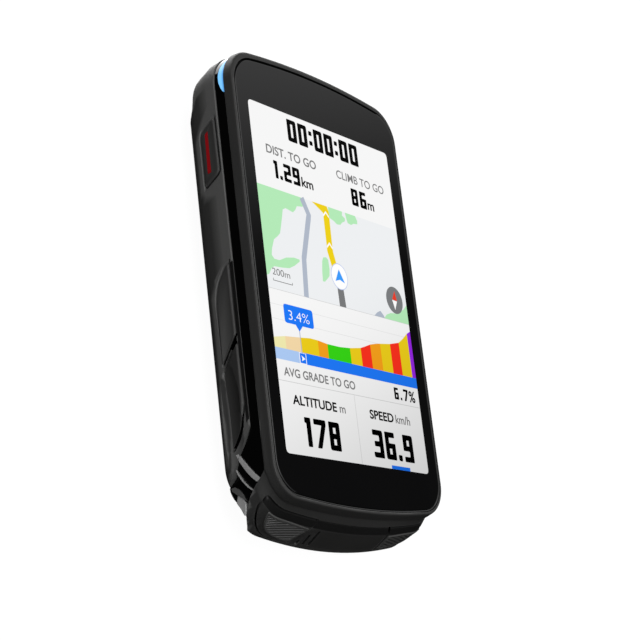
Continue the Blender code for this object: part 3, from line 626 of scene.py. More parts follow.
def make_chin_panel():
    panel = shell_between("chin_panel_plate", CHIN_RINGS[2:], 1.6, PANEL_FACE, high=-44.6)
    for (x_top, z_top), (x_low, z_low) in SLOTS:
        half = 0.36
        hole = [(x_top - half * 0.6, z_top - 0.2), (x_top, z_top), (x_top + half, z_top - 0.1),
            (x_low + half, z_low), (x_low - half, z_low)]
        cut(panel, prism("slot", hole, -60, -44, "Y"))
    soften(panel, 0.12)
    piece(panel, "unit", SHELL, ["chin_panel"])
    strip = [(12.34, -4.55), (12.74, -4.55), (15.24, -10.4), (14.84, -10.4)]
    edge = shell_between("chin_panel_edge", CHIN_RINGS[2:], 1.2, strip, high=-44.6)
    soften(edge, 0.1)
    piece(edge, "unit", PAD)
    # The panel's upper band under the frame gets the darker shell copy: painted shade.
    finish_faces(panel, SHELL_SHADED, lambda p, n: p.z > -4.75)


# ---------- inner housing and its light

END_RINGS = [(z, half_w, 49.0, -50.4, 7.6, 8.0, 230, 150) for z, half_w in (
    (-2.25, 28.98), (-9.0, 28.92), (-10.4, 28.7), (-11.6, 28.3), (-12.5, 27.6), (-13.4, 26.4))]
SHELL_END = [(-31.0, -4.7), (-34.0, -6.4), (-37.3, -8.8), (-40.2, -10.3), (-41.5, -11.8), (-41.6, -20.0)]
END_BODY = [(-30.3, -4.3), (-31.07, -4.55), (-34.08, -6.26), (-37.39, -8.67), (-40.28, -10.15),
    (-41.65, -11.72), (-41.75, -13.0), (-51.0, -11.3), (-51.0, -2.4), (-30.3, -2.4)]
SCOOP = [(-41.8, -13.6), (-41.8, -12.8), (-43.3, -12.1), (-45.4, -10.8), (-48.7, -9.15), (-52.0, -6.8),
    (-60.0, -6.8), (-60.0, -13.6)]
LIGHT_FACE = [(38.0, -2.27), (38.3, -2.75), (39.1, -3.2), (40.3, -3.6), (42.0, -3.75), (43.8, -3.6),
    (45.0, -3.15), (45.7, -2.7), (46.0, -2.27)]


def make_inner_housing():
    band = loft("inner_housing_body", [
        (-2.27, *plan_of(BAND_PLAN, 0.1)), (-2.34, *BAND_PLAN), (-4.54, *BAND_PLAN),
        (-4.62, *plan_of(BAND_PLAN, 0.1))])
    end = loft("end", END_RINGS)
    keep(end, prism("end_side", END_BODY, -40, 40, "X"))
    fuse(band, end)
    cut(band, slab("band_room", plan_of(BAND_PLAN, 2.8), -5.1, 1.0))
    end_room = [(-28.5, 1.0), (-28.5, -5.2), (-36.0, -8.2), (-60.0, -8.2), (-60.0, 1.0)]
    cut(band, prism("end_room", end_room, -26.3, 26.3, "X"))
    port_room = [(-36.5, -6.4), (-40.6, -11.4), (-60.0, -8.17), (-60.0, -6.4)]
    cut(band, prism("port_room", port_room, -22.9, 22.9, "X"))
    cut(band, prism("chin_side", grow([*CHIN_BACK, (-60.0, -12.0), (-60.0, -1.8)], 0.12), -40, 40, "X"))
    for side in (-1, 1):
        face = KEY_FACE if side < 0 else mirrored(KEY_FACE)
        cut(band, prism("scoop", SCOOP, side * 24.0, side * 40, "X"))
        sweep = prism("sweep", grow(face, 0.3), -60, -42.6, "Y")
        behind = [inset(ring, 2.75) for ring in CHIN_RINGS]
        cut(sweep, loft("behind", [(1.0, *behind[0][1:])] + behind + [(-20.0, *behind[-1][1:])]))
        cut(band, sweep)
        for depth, start, drop_to in ((0.55, (-35.6, -8.3), (-41.6, -3.3)),
                                      (1.05, (-38.5, -9.6), (-43.9, -5.2))):
            area = [start, drop_to, (-60.0, 8.0), (-60.0, -20.0), (-32.0, -20.0)]
            cut(band, prism("step", area, side * (29.1 - depth), side * 40, "X"))
    pocket = prism("pocket", [(37.9, -1.0), *grow(LIGHT_FACE, 0.06), (46.1, -1.0)], -40, 40, "X")
    cut(pocket, slab("core", plan_of(BAND_PLAN, 1.25), -6, 3))
    cut(band, pocket)
    cut(band, on_cover(box("recess", (-7.8, -7.9, -2.0), (7.8, 0.6, 1.35))))
    cut(band, box("mouth", (-4.9, -47.9, -14), (4.9, -44.1, -5)))
    soften(band, 0.18, 3)
    piece(band, "unit", GLOSS, ["mid_housing"])


def make_corner_ledges():
    """Ledges that cross the glossy lower corners, light grey as painted reflection streaks, with a dark grey
    patch behind them as painted grey reflection.
    """
    wide = [(-35.9, -9.15), (-37.6, -8.35), (-39.4, -7.15), (-40.9, -5.95), (-42.0, -4.75), (-41.7, -3.6),
        (-40.2, -5.1), (-38.6, -6.45), (-36.9, -7.7), (-35.9, -8.35)]
    thin = ribbon([(-38.0, -9.95), (-39.6, -9.35), (-41.2, -8.35), (-42.5, -7.2), (-43.4, -6.1)], 0.28)
    low = [(-43.5, -10.2), (-44.4, -9.0), (-45.6, -8.45), (-46.9, -8.6), (-47.7, -9.15), (-46.3, -9.85),
        (-45.0, -10.75)]
    shade = [(-42.0, -11.5), (-41.9, -10.7), (-42.5, -9.7), (-43.6, -8.8), (-44.9, -8.3), (-44.0, -9.5),
        (-43.3, -10.5), (-42.6, -11.4)]
    for side, name in ((-1, "left"), (1, "right")):
        # The patch behind the ledges is lighter than the glossy body under it: painted grey reflection.
        back = tiered(f"corner_ledge_{name}_back", shade, 0.0, [(side * 27.9, 0.0), (side * 28.33, 0.0)], "X")
        piece(back, "unit", SHELL)
        for label, face, reach in (("wide", wide, 28.96), ("thin", thin, 28.62), ("low", low, 28.16)):
            tiers = [(side * (reach - 0.6), 0.0), (side * (reach - 0.08), 0.0), (side * reach, -0.08)]
            # Light grey ledge faces: painted reflection streaks.
            ledge = tiered(f"corner_ledge_{name}_{label}", face, 0.0, tiers, "X")
            piece(ledge, "unit", GLOSS_STREAK_HIGHLIGHT)


def light_material():
    """Frosted light guide, lit from inside: bright in the middle, with a darker blue strip along its upper
    edge as painted shade under the frame's overhang.
    """
    made, tree, shader = new_material("light_guide_lit")
    place = add(tree, "TexCoord", {}, "Object")
    height = add(tree, "SeparateXYZ", {"Vector": place}, "Z")
    # Darker blue towards the frame's edge: painted shade under the frame's overhang.
    depth = add(tree, "MapRange", {"From Min": DATUM.z - 0.0029, "From Max": DATUM.z - 0.0023,
                                   "Value": height}, "Result", interpolation_type="SMOOTHSTEP")
    blend = add(tree, "Mix", {"Factor": depth, "A": (*srgb("74BEF2"), 1.0), "B": (*srgb("3484C4"), 1.0)},
                "Result", data_type="RGBA")
    frost = add(tree, "TexNoise", {"Scale": 500.0, "Vector": place}, "Fac")
    cloud = add(tree, "MapRange", {"To Min": 0.92, "To Max": 1.06, "Value": frost}, "Result")
    tint = add(tree, "Mix", {"Factor": 1.0, "A": blend, "B": cloud}, "Result", data_type="RGBA",
               blend_type="MULTIPLY")
    feed(tree, shader, {"Base Color": (0.10, 0.22, 0.40, 1.0), "Roughness": 0.35,
                        "Emission Strength": 1.0, "Emission Color": tint})
    return made


def make_lights():
    glow = light_material()
    for side, name in ((-1, "light_guide_left"), (1, "light_guide_right")):
        guide = prism(name + "_lens", LIGHT_FACE, side * 10, side * 40, "X")
        keep(guide, slab("skin", plan_of(BAND_PLAN, -0.02), -5, 1))
        cut(guide, slab("core", plan_of(BAND_PLAN, 1.1), -6, 2))
        soften(guide, 0.08)
        piece(guide, "unit", glow, [name])


# ---------- rear shell and side keys

SHELL_RINGS = [
    (-4.66, 29.22, 49.02, -47.3, 7.7, 7.8, 230, 190),
    (-4.80, 29.38, 49.16, -47.3, 7.8, 7.8, 230, 190),
    (-7.0, 29.45, 48.8, -47.3, 7.8, 7.8, 230, 190),
    (-9.6, 29.43, 47.5, -47.1, 7.8, 6.6, 230, 190),
    (-10.6, 29.40, 46.9, -47.0, 7.8, 6.6, 230, 190),
    (-11.3, 29.24, 46.3, -46.7, 7.8, 6.6, 230, 190),
    (-11.9, 28.95, 45.7, -46.4, 7.8, 6.6, 230, 190),
    (-12.4, 28.55, 45.0, -46.0, 7.8, 6.6, 228, 188),
    (-12.8, 28.05, 44.2, -45.4, 7.7, 6.6, 226, 186),
    (-13.1, 27.40, 43.2, -44.6, 7.6, 6.6, 222, 182),
    (-13.6, 25.8, 41.0, -42.2, 7.5, 7.5, 215, 178),
    (-14.1, 23.8, 38.0, -39.2, 7.4, 7.4, 208, 174),
    (-14.6, 21.6, 34.4, -35.2, 7.6, 7.6, 200, 170),
    (-15.0, 19.8, 30.8, -31.0, 8.2, 8.2, 190, 165),
    (-15.3, 18.2, 27.6, -27.6, 8.8, 8.8, 182, 160),
    (-15.4, 17.2, 25.6, -25.6, 9.0, 9.0, 180, 160),
]
TOP_STEP = [(34.0, -15.1), (34.3, -13.2), (34.8, -12.3), (35.8, -11.55), (37.0, -10.95), (38.6, -10.6),
    (47.0, -10.2), (60.0, -9.8), (60.0, -22.0), (34.0, -22.0)]
POWER_FACE = [(22.0, -5.4), (33.5, -5.5), (31.4, -8.9), (30.4, -9.4), (19.2, -9.4), (21.2, -6.0)]
PAGE_UP_FACE = [(2.3, -5.6), (1.8, -6.5), (0.2, -7.7), (-1.8, -8.9), (-4.6, -9.6), (-18.0, -9.6),
    (-12.4, -5.6)]
PAGE_DOWN_FACE = [(-14.2, -5.6), (-19.8, -9.6), (-34.7, -9.6), (-32.5, -8.15), (-30.1, -6.5),
    (-27.3, -5.6)]
STRIPE_FACE = [(22.1, -7.4), (31.0, -7.3), (30.4, -8.1), (21.9, -8.3)]
SIDE_KEYS = (
    ("power", "power_key", POWER_FACE, (0.5, 0.6, 0.6, 0.6, 0.6, 0.8), (26.5, -7.4)),
    ("page_up", "page_up_key", PAGE_UP_FACE, (0.3, 0.8, 1.0, 1.2, 1.2, 0.5, 0.4), (-7.5, -7.6)),
    ("page_down", "page_down_key", PAGE_DOWN_FACE, (0.4, 0.5, 0.6, 1.2, 1.4, 1.2), (-24.0, -7.6)),
)
CASE_SCREWS = ((-24.6, 38.6), (24.6, 38.6), (-24.2, -34.2), (24.2, -34.2))
MOUNT_SCREWS = [(8.4 * cos(radians(turn)), 8.4 * sin(radians(turn))) for turn in (90, 210, 330)]
KEY_GAP = [(-12.45, -5.5), (-14.15, -5.5), (-19.9, -9.6), (-18.2, -9.6)]
KEY_TIP_GAP = [(-29.3, -5.75), (-31.1, -6.05), (-33.2, -7.45), (-35.4, -9.45), (-35.2, -9.85),
    (-34.0, -9.3), (-30.0, -6.6)]
LIP_FACE = [(2.6, -4.4), (2.2, -5.45), (-30.5, -5.45), (-29.5, -4.4)]


def thumb_scoop():
    hollow = ellipsoid("thumb", (-29.45 - 6 + 0.85, -29.5, -8.8), (6, 22, 5.2))
    keep(hollow, box("below", (-40, -60, -20), (-20, 0, -6.15)))
    return hollow


def make_rear_shell():
    shell = loft("rear_shell_body", SHELL_RINGS)
    cut(shell, prism("step", TOP_STEP, -40, 40, "X"))
    rings = [inset(ring, 1.5) for ring in SHELL_RINGS]
    rings = [ring if ring[0] > -12 else (ring[0] + 1.3, *ring[1:]) for ring in rings]
    rings = [rings[0], *sorted(rings[1:], key=lambda r: -r[0])]
    rings[0] = (-3.0, *rings[0][1:])
    room = loft("room", rings)
    cut(room, prism("inner_step", [(y - 1.5, z + 1.5) for y, z in TOP_STEP], -40, 40, "X"))
    cut(shell, room)
    end = [(-29.4, -3.5), *SHELL_END, (-60.0, -20.0), (-60.0, -3.5)]
    cut(shell, prism("end", end, -40, 40, "X"))
    cut(shell, thumb_scoop())
    for _, _, face, radii, _ in SIDE_KEYS:
        mouth = [(-26, 0.16), (-29.08, 0.16), (-29.42, 0.50), (-31.0, 0.50)]
        cut(shell, tiered("opening", face, radii, mouth, "X"))
    cut(shell, prism("lip", LIP_FACE, -31, -29.22, "X"))
    for face in (KEY_GAP, KEY_TIP_GAP):
        cut(shell, prism("key_gap", face, -31, -28.25, "X"))
    for x, y in CASE_SCREWS:
        joint, seat = (-5.25, -8.6) if y > 0 else (-8.65, -10.8)
        fuse(shell, rod("boss", (x, y, joint), (x, y, seat - 2.2), 2.5))
        cut(shell, rod("bore", (x, y, -4.0), (x, y, -20.0), 1.0))
        cut(shell, rod("head", (x, y, seat), (x, y, -20.0), 1.8))
    for x, y in MOUNT_SCREWS:
        cut(shell, rod("bore", (x, y, -12.0), (x, y, -20.0), 0.85))
    cut(shell, rod("vent", (14.0, 41.5, -5.0), (14.0, 41.5, -20.0), 0.6))
    soften(shell, 0.16, 3)
    piece(shell, "unit", SHELL, ["rear_shell"])
    # The lip along the page keys' front edge gets the darker shell copy: painted shade.
    finish_faces(shell, SHELL_SHADED, lambda p, n: abs(p.x + 29.22) < 0.04 and -31 < p.y < 3 and p.z > -5.5)
    # The floors of the key gaps get near-black gloss: painted shade in the recesses.
    finish_faces(shell, GLOSS, lambda p, n: abs(p.x + 28.25) < 0.04 and -36 < p.y < -12)


def make_side_keys():
    for name, body, face, radii, (y, z) in SIDE_KEYS:
        crown = [(-28.2, 0.0), (-29.38, 0.0), (-29.61, -0.20), (-29.68, -0.42)]
        head = tiered(name + "_cap", face, radii, crown, "X")
        if name == "page_down":
            cut(head, thumb_scoop())
        neck = prism("neck", grow(face, -0.5), -28.4, -27.4, "X")
        flange = box("flange", (-27.6, y - 5.5, z - 1.6), (-27.1, y + 5.5, z + 1.6))
        stem = rod("stem", (-27.3, y, z), (-25.5, y, z), 0.8)
        fuse(head, neck, flange, stem)
        if name == "power":
            cut(head, prism("pocket", rounded(grow(STRIPE_FACE, 0.05), 0.15), -40, -29.25, "X"))
            stripe = prism("power_stripe", rounded(STRIPE_FACE, 0.15), -29.64, -29.3, "X")
            soften(stripe, 0.05)
            piece(stripe, body, RED, ["power_button_stripe"])
        soften(head, 0.05, 2)
        piece(head, body, SHELL, [name + "_button"])
        # The page keys' downward-facing faces get near-black gloss: painted shade on their lower edges.
        finish_faces(head, GLOSS, lambda p, n: name != "power" and n.y < -0.3 and abs(n.x) < 0.3)


# ---------- back: mount, flap and screws

COVER_SIZE = (15.0, 7.6, 1.2)
COVER_HINGE = (-42.9, -13.05)
COVER_TILT = atan2(1.7, 9.2)
MOUNT_TOP = -15.45
MOUNT_BASE = -18.5


def on_cover(obj):
    """Places a piece drawn flat about the flap's hinge line on the sloped lower back."""
    tilt = Matrix.Rotation(-COVER_TILT, 4, "X")
    obj.data.transform(Matrix.Translation(at(0, *COVER_HINGE)) @ tilt @ Matrix.Translation(-DATUM))
    return obj


def make_mount():
    flange = MOUNT_TOP - 0.9
    tabs = MOUNT_BASE + 1.5
    profile = [(0, MOUNT_TOP), (15.7, MOUNT_TOP), (15.9, MOUNT_TOP - 0.1), (16.0, MOUNT_TOP - 0.3),
        (16.0, flange + 0.25), (15.93, flange + 0.08), (15.75, flange), (12.25, flange),
        (12.07, flange - 0.06), (12.0, flange - 0.25), (12.0, tabs + 0.2), (12.1, tabs), (14.1, tabs),
        (14.25, tabs - 0.05), (14.3, tabs - 0.2), (14.3, MOUNT_BASE + 0.4), (14.2, MOUNT_BASE + 0.15),
        (14.0, MOUNT_BASE + 0.02), (13.8, MOUNT_BASE), (12.9, MOUNT_BASE), (12.75, MOUNT_BASE + 0.12),
        (12.55, MOUNT_BASE + 0.12), (12.4, MOUNT_BASE), (3.3, MOUNT_BASE), (3.08, MOUNT_BASE + 0.07),
        (3.0, MOUNT_BASE + 0.25), (3.0, MOUNT_BASE + 0.8), (0, MOUNT_BASE + 0.8)]
    insert = turned("mount_insert_disc", profile, 144)
    for side in (-1, 1):
        cut(insert, box("relief", (side * 12.05, -20, -20), (side * 20, 20, flange - 0.02)))
    for x, y in MOUNT_SCREWS:
        cut(insert, rod("bore", (x, y, -10), (x, y, -20), 0.85))
        cut(insert, rod("head", (x, y, -17.0), (x, y, -20), 1.75, 48))
    soften(insert, 0.12, 2, 40)
    piece(insert, "unit", MOUNT, ["mount_insert"])


def make_screw(name, x, y, seat, head, tip):
    """Socket head screw, its head upwards to the back, with six small lobes in the socket."""
    screw = rod(name + "_head", (x, y, seat), (x, y, seat - head), 1.6, 48)
    fuse(screw, rod("shaft", (x, y, tip), (x, y, seat - 0.2), 0.72, 24))
    lobes = []
    for i in range(72):
        turn = 2 * pi * i / 72
        r = 0.72 + 0.13 * cos(6 * turn)
        lobes.append((x + r * cos(turn), y + r * sin(turn)))
    cut(screw, prism("socket", lobes, seat - head + 0.6, seat - head - 1, "Z"))
    soften(screw, 0.09, 3, 40)
    piece(screw, "unit", STEEL, [name])


def make_screws():
    for i, (x, y) in enumerate(CASE_SCREWS, 1):
        seat = (-8.6 if y > 0 else -10.8) - 0.05
        make_screw(f"case_screw_{i}", x, y, seat, 1.0, -3.7)
    for i, (x, y) in enumerate(MOUNT_SCREWS, 1):
        make_screw(f"mount_screw_{i}", x, y, -17.1, 1.1, -13.9)


def make_port_cover():
    wide, tall, thick = COVER_SIZE
    radii = (1.4, 1.4, 0.3, 0.3)
    plan = rect(-wide / 2, wide / 2, -tall, 0.3)
    cover = prism("usb_port_cover_flap", rounded(plan, radii), 0.0, thick, "Z")
    plug = prism("plug", rounded(rect(-4, 4, -4.5, -2.5), 0.9), thick - 0.1, thick + 0.9, "Z")
    fuse(cover, plug)
    grip = [(-3.2, -tall - 0.2), (3.2, -tall - 0.2), (2.5, -tall + 1.1), (-2.5, -tall + 1.1)]
    cut(cover, prism("grip", rounded(grip, 0.35), -0.3, 0.45, "Z"))
    for line in range(3):
        y = -tall + 1.9 + 0.55 * line
        cut(cover, box("line", (-2.4, y, -0.3), (2.4, y + 0.22, 0.16)))
    soften(cover, 0.14, 3)
    piece(on_cover(cover), "port_flap", RUBBER, ["usb_port_cover"])


def dress_inner_nodes():
    """Gives the CAD nodes that stay as they are the finish that their slot names."""
    finish_of = {"housing_black": SHELL, "inner_gloss": GLOSS, "cover_glass": GLASS, "display": PANEL_LIT,
                 "light_pipe": INNER_GREY, "red_insert": RED, "rubber_black": RUBBER, "steel": STEEL,
                 "board": BOARD, "film": FILM, "cell": CELL, "ceramic": CERAMIC,
                 "dark_grey_plastic": INNER_GREY}
    for part in frame["record"]["subparts"]:
        node = frame["nodes"][part["node"]]
        node.data.materials.clear()
        node.data.materials.append(finish_of[part["material_slot"]])


# ---------- display graphics

LAYER = 0.004
STROKE = 0.205
BAR = 0.165
WEIGHT = 0.021
WIDE = 0.60
MID_LOW, MID_HIGH = 0.42, 0.58


HOLE, LOW_HOLE, HIGH_HOLE = HOLES = [
    rect(STROKE, WIDE - STROKE, low, high)
    for low, high in ((BAR, 1 - BAR), (BAR, MID_LOW), (MID_HIGH, 1 - BAR))]
FULL = rect(0, WIDE, 0, 1)
SIX = [(0, 0), (WIDE, 0), (WIDE, MID_HIGH), (STROKE, MID_HIGH), (STROKE, 1 - BAR), (WIDE - 0.03, 1 - BAR),
    (WIDE - 0.03, 1), (0, 1)]
GLYPHS = {
    "0": (WIDE, [FULL, HOLE]),
    "1": (0.31, [[(0.10, 0), (0.31, 0), (0.31, 1), (0, 1), (0, 0.84), (0.10, 0.84)]]),
    "2": (WIDE, [[(0, 0), (WIDE, 0), (WIDE, BAR), (STROKE, BAR), (STROKE, MID_LOW),
                  (WIDE, MID_LOW), (WIDE, 1), (0, 1), (0, 1 - BAR), (WIDE - STROKE, 1 - BAR),
                  (WIDE - STROKE, MID_HIGH), (0, MID_HIGH)]]),
    "3": (WIDE, [[(0, 0), (WIDE, 0), (WIDE, 1), (0, 1), (0, 1 - BAR), (WIDE - STROKE, 1 - BAR),
                  (WIDE - STROKE, MID_HIGH), (0.09, MID_HIGH), (0.09, MID_LOW),
                  (WIDE - STROKE, MID_LOW), (WIDE - STROKE, BAR), (0, BAR)]]),
    "6": (WIDE, [SIX, LOW_HOLE]),
    "7": (0.66, [[(0.12, 0), (0.33, 0), (0.66, 0.84), (0.66, 1), (0, 1), (0, 1 - BAR),
                  (0.45, 1 - BAR)]]),
    "8": (WIDE, [FULL, LOW_HOLE, HIGH_HOLE]),
    "9": (WIDE, [[(WIDE - x, 1 - y) for x, y in SIX], HIGH_HOLE]),
    ":": (0.19, [rect(0, 0.19, 0.18, 0.35), rect(0, 0.19, 0.65, 0.82)]),
    ".": (0.20, [rect(0, 0.20, 0, 0.19)]),
}


def digits(text, left, right, low, high):
    """Outlines of figures in the display's squared face, spread from left to right."""
    height = high - low
    widths = [GLYPHS[c][0] * height for c in text]
    gap = (right - left - sum(widths)) / (len(text) - 1)
    shapes = []
    x = left
    for character, width in zip(text, widths):
        for shape in GLYPHS[character][1]:
            is_hole = shape in HOLES
            radii = 0.015 if is_hole else [0.10 if abs(u - v * WIDE) < 0.01 else 0.045 for u, v in shape]
            heavier = grow(shape, -WEIGHT if is_hole else WEIGHT)
            shapes.append([(x + u * height, low + v * height) for u, v in rounded(heavier, radii, 3)])
        x += width + gap
    return shapes


def as_mesh(name, curve):
    holder = bpy.data.objects.new(name, curve)
    bpy.context.scene.collection.objects.link(holder)
    ready = holder.evaluated_get(bpy.context.evaluated_depsgraph_get())
    mesh = bpy.data.meshes.new_from_object(ready)
    bpy.data.objects.remove(holder)
    bm = bmesh.new()
    bm.from_mesh(mesh)
    bmesh.ops.remove_doubles(bm, verts=bm.verts, dist=1e-5)
    bpy.data.meshes.remove(mesh)
    return bm


def sheet(name, level, finish, shapes=(), words=()):
    """One colour of the picture: flat outlines and lettering as a thin layer above the glass."""
    thick = LAYER * (level + 1)
    whole = bmesh.new()
    if shapes:
        curve = bpy.data.curves.new(name, "CURVE")
        curve.dimensions = "2D"
        curve.fill_mode = "BOTH"
        curve.extrude = 0.5
        for shape in shapes:
            spline = curve.splines.new("POLY")
            spline.points.add(len(shape) - 1)
            for point, (x, y) in zip(spline.points, shape):
                point.co = (x, y, 0, 1)
            spline.use_cyclic_u = True
        drawn = as_mesh(name, curve)
        drawn.transform(Matrix.Diagonal((1, 1, thick, 1)))
        copy_into(whole, drawn)
    for text, left, right, low, high, weight in words:
        curve = bpy.data.curves.new(name, "FONT")
        curve.body = text
        curve.extrude = 0.5
        curve.offset = weight
        drawn = as_mesh(name, curve)
        xs = [v.co.x for v in drawn.verts]
        scale_x = (right - left) / (max(xs) - min(xs))
        scale_y = (high - low) / CAP_HEIGHT
        drawn.transform(Matrix.Diagonal((scale_x, scale_y, thick, 1)))
        drawn.transform(Matrix.Translation((left - min(xs) * scale_x, low, 0)))
        copy_into(whole, drawn)
    whole.transform(Matrix.Translation(at(0, 0, thick / 2)) @ Matrix.Scale(MM, 4))
    layer = new_object(name, whole)
    piece(layer, "unit", finish)


def copy_into(whole, other):
    mesh = bpy.data.meshes.new("part")
    other.to_mesh(mesh)
    other.free()
    whole.from_mesh(mesh)
    bpy.data.meshes.remove(mesh)


# Height of a capital in Blender's own face at size 1.
CAP_HEIGHT = 0.729


def ring_of(x, y, radius):
    return arc(x, y, radius, 0, 2 * pi, 40)[:-1]


def ribbon(points, width):
    """Outline of a line of that width along points, with mitred corners."""
    sides = []
    for i, here in enumerate(points):
        before = Vector(here) - Vector(points[max(i - 1, 0)])
        after = Vector(points[min(i + 1, len(points) - 1)]) - Vector(here)
        along = (before.normalized() + after.normalized()).normalized()
        across = Vector((-along.y, along.x)) * width / 2
        sides.append((Vector(here) + across, Vector(here) - across))
    return [tuple(a) for a, _ in sides] + [tuple(b) for _, b in reversed(sides)]


ACTIVE = (-24.65, 24.65, -37.0, 37.0)
MAP_TOP, MAP_LOW = 18.6, -3.45
CHART_TOP = [(-24.65, -13.7), (-21.0, -13.05), (-16.05, -12.6), (-12.7, -12.25), (-10.2, -12.3),
    (-7.0, -12.6), (-2.7, -12.6), (0.9, -12.3), (4.8, -11.7), (6.6, -11.1), (8.5, -10.4), (10.7, -9.9),
    (12.3, -9.65), (16.1, -9.15), (19.6, -8.35), (21.4, -7.2), (23.3, -5.75), (24.65, -5.05)]
CHART_BASE = -15.7
BARS = (("pale_yellow", -24.65, -21.0), ("pale_orange", -21.0, -16.05), ("yellow", -16.05, -10.2),
    ("orange", -10.2, -7.0), ("green", -7.0, 0.9), ("yellow", 0.9, 4.8), ("red", 4.8, 8.5),
    ("orange", 8.5, 12.3), ("yellow", 12.3, 16.1), ("red", 16.1, 19.6), ("yellow", 19.6, 23.3),
    ("purple", 23.3, 24.65))
BAR_COLOURS = {"pale_yellow": "EFE9AE", "pale_orange": "F3D8A8", "yellow": "EBCC1C", "orange": "F49F1C",
               "green": "36D216", "red": "F8321F", "purple": "9328DE"}


def chart_height(x):
    for a, b in zip(CHART_TOP, CHART_TOP[1:]):
        if a[0] <= x <= b[0]:
            return a[1] + (b[1] - a[1]) * (x - a[0]) / (b[0] - a[0])
    return CHART_TOP[-1][1]


def ink(name, code):
    return lit("lit_" + name, srgb(code))


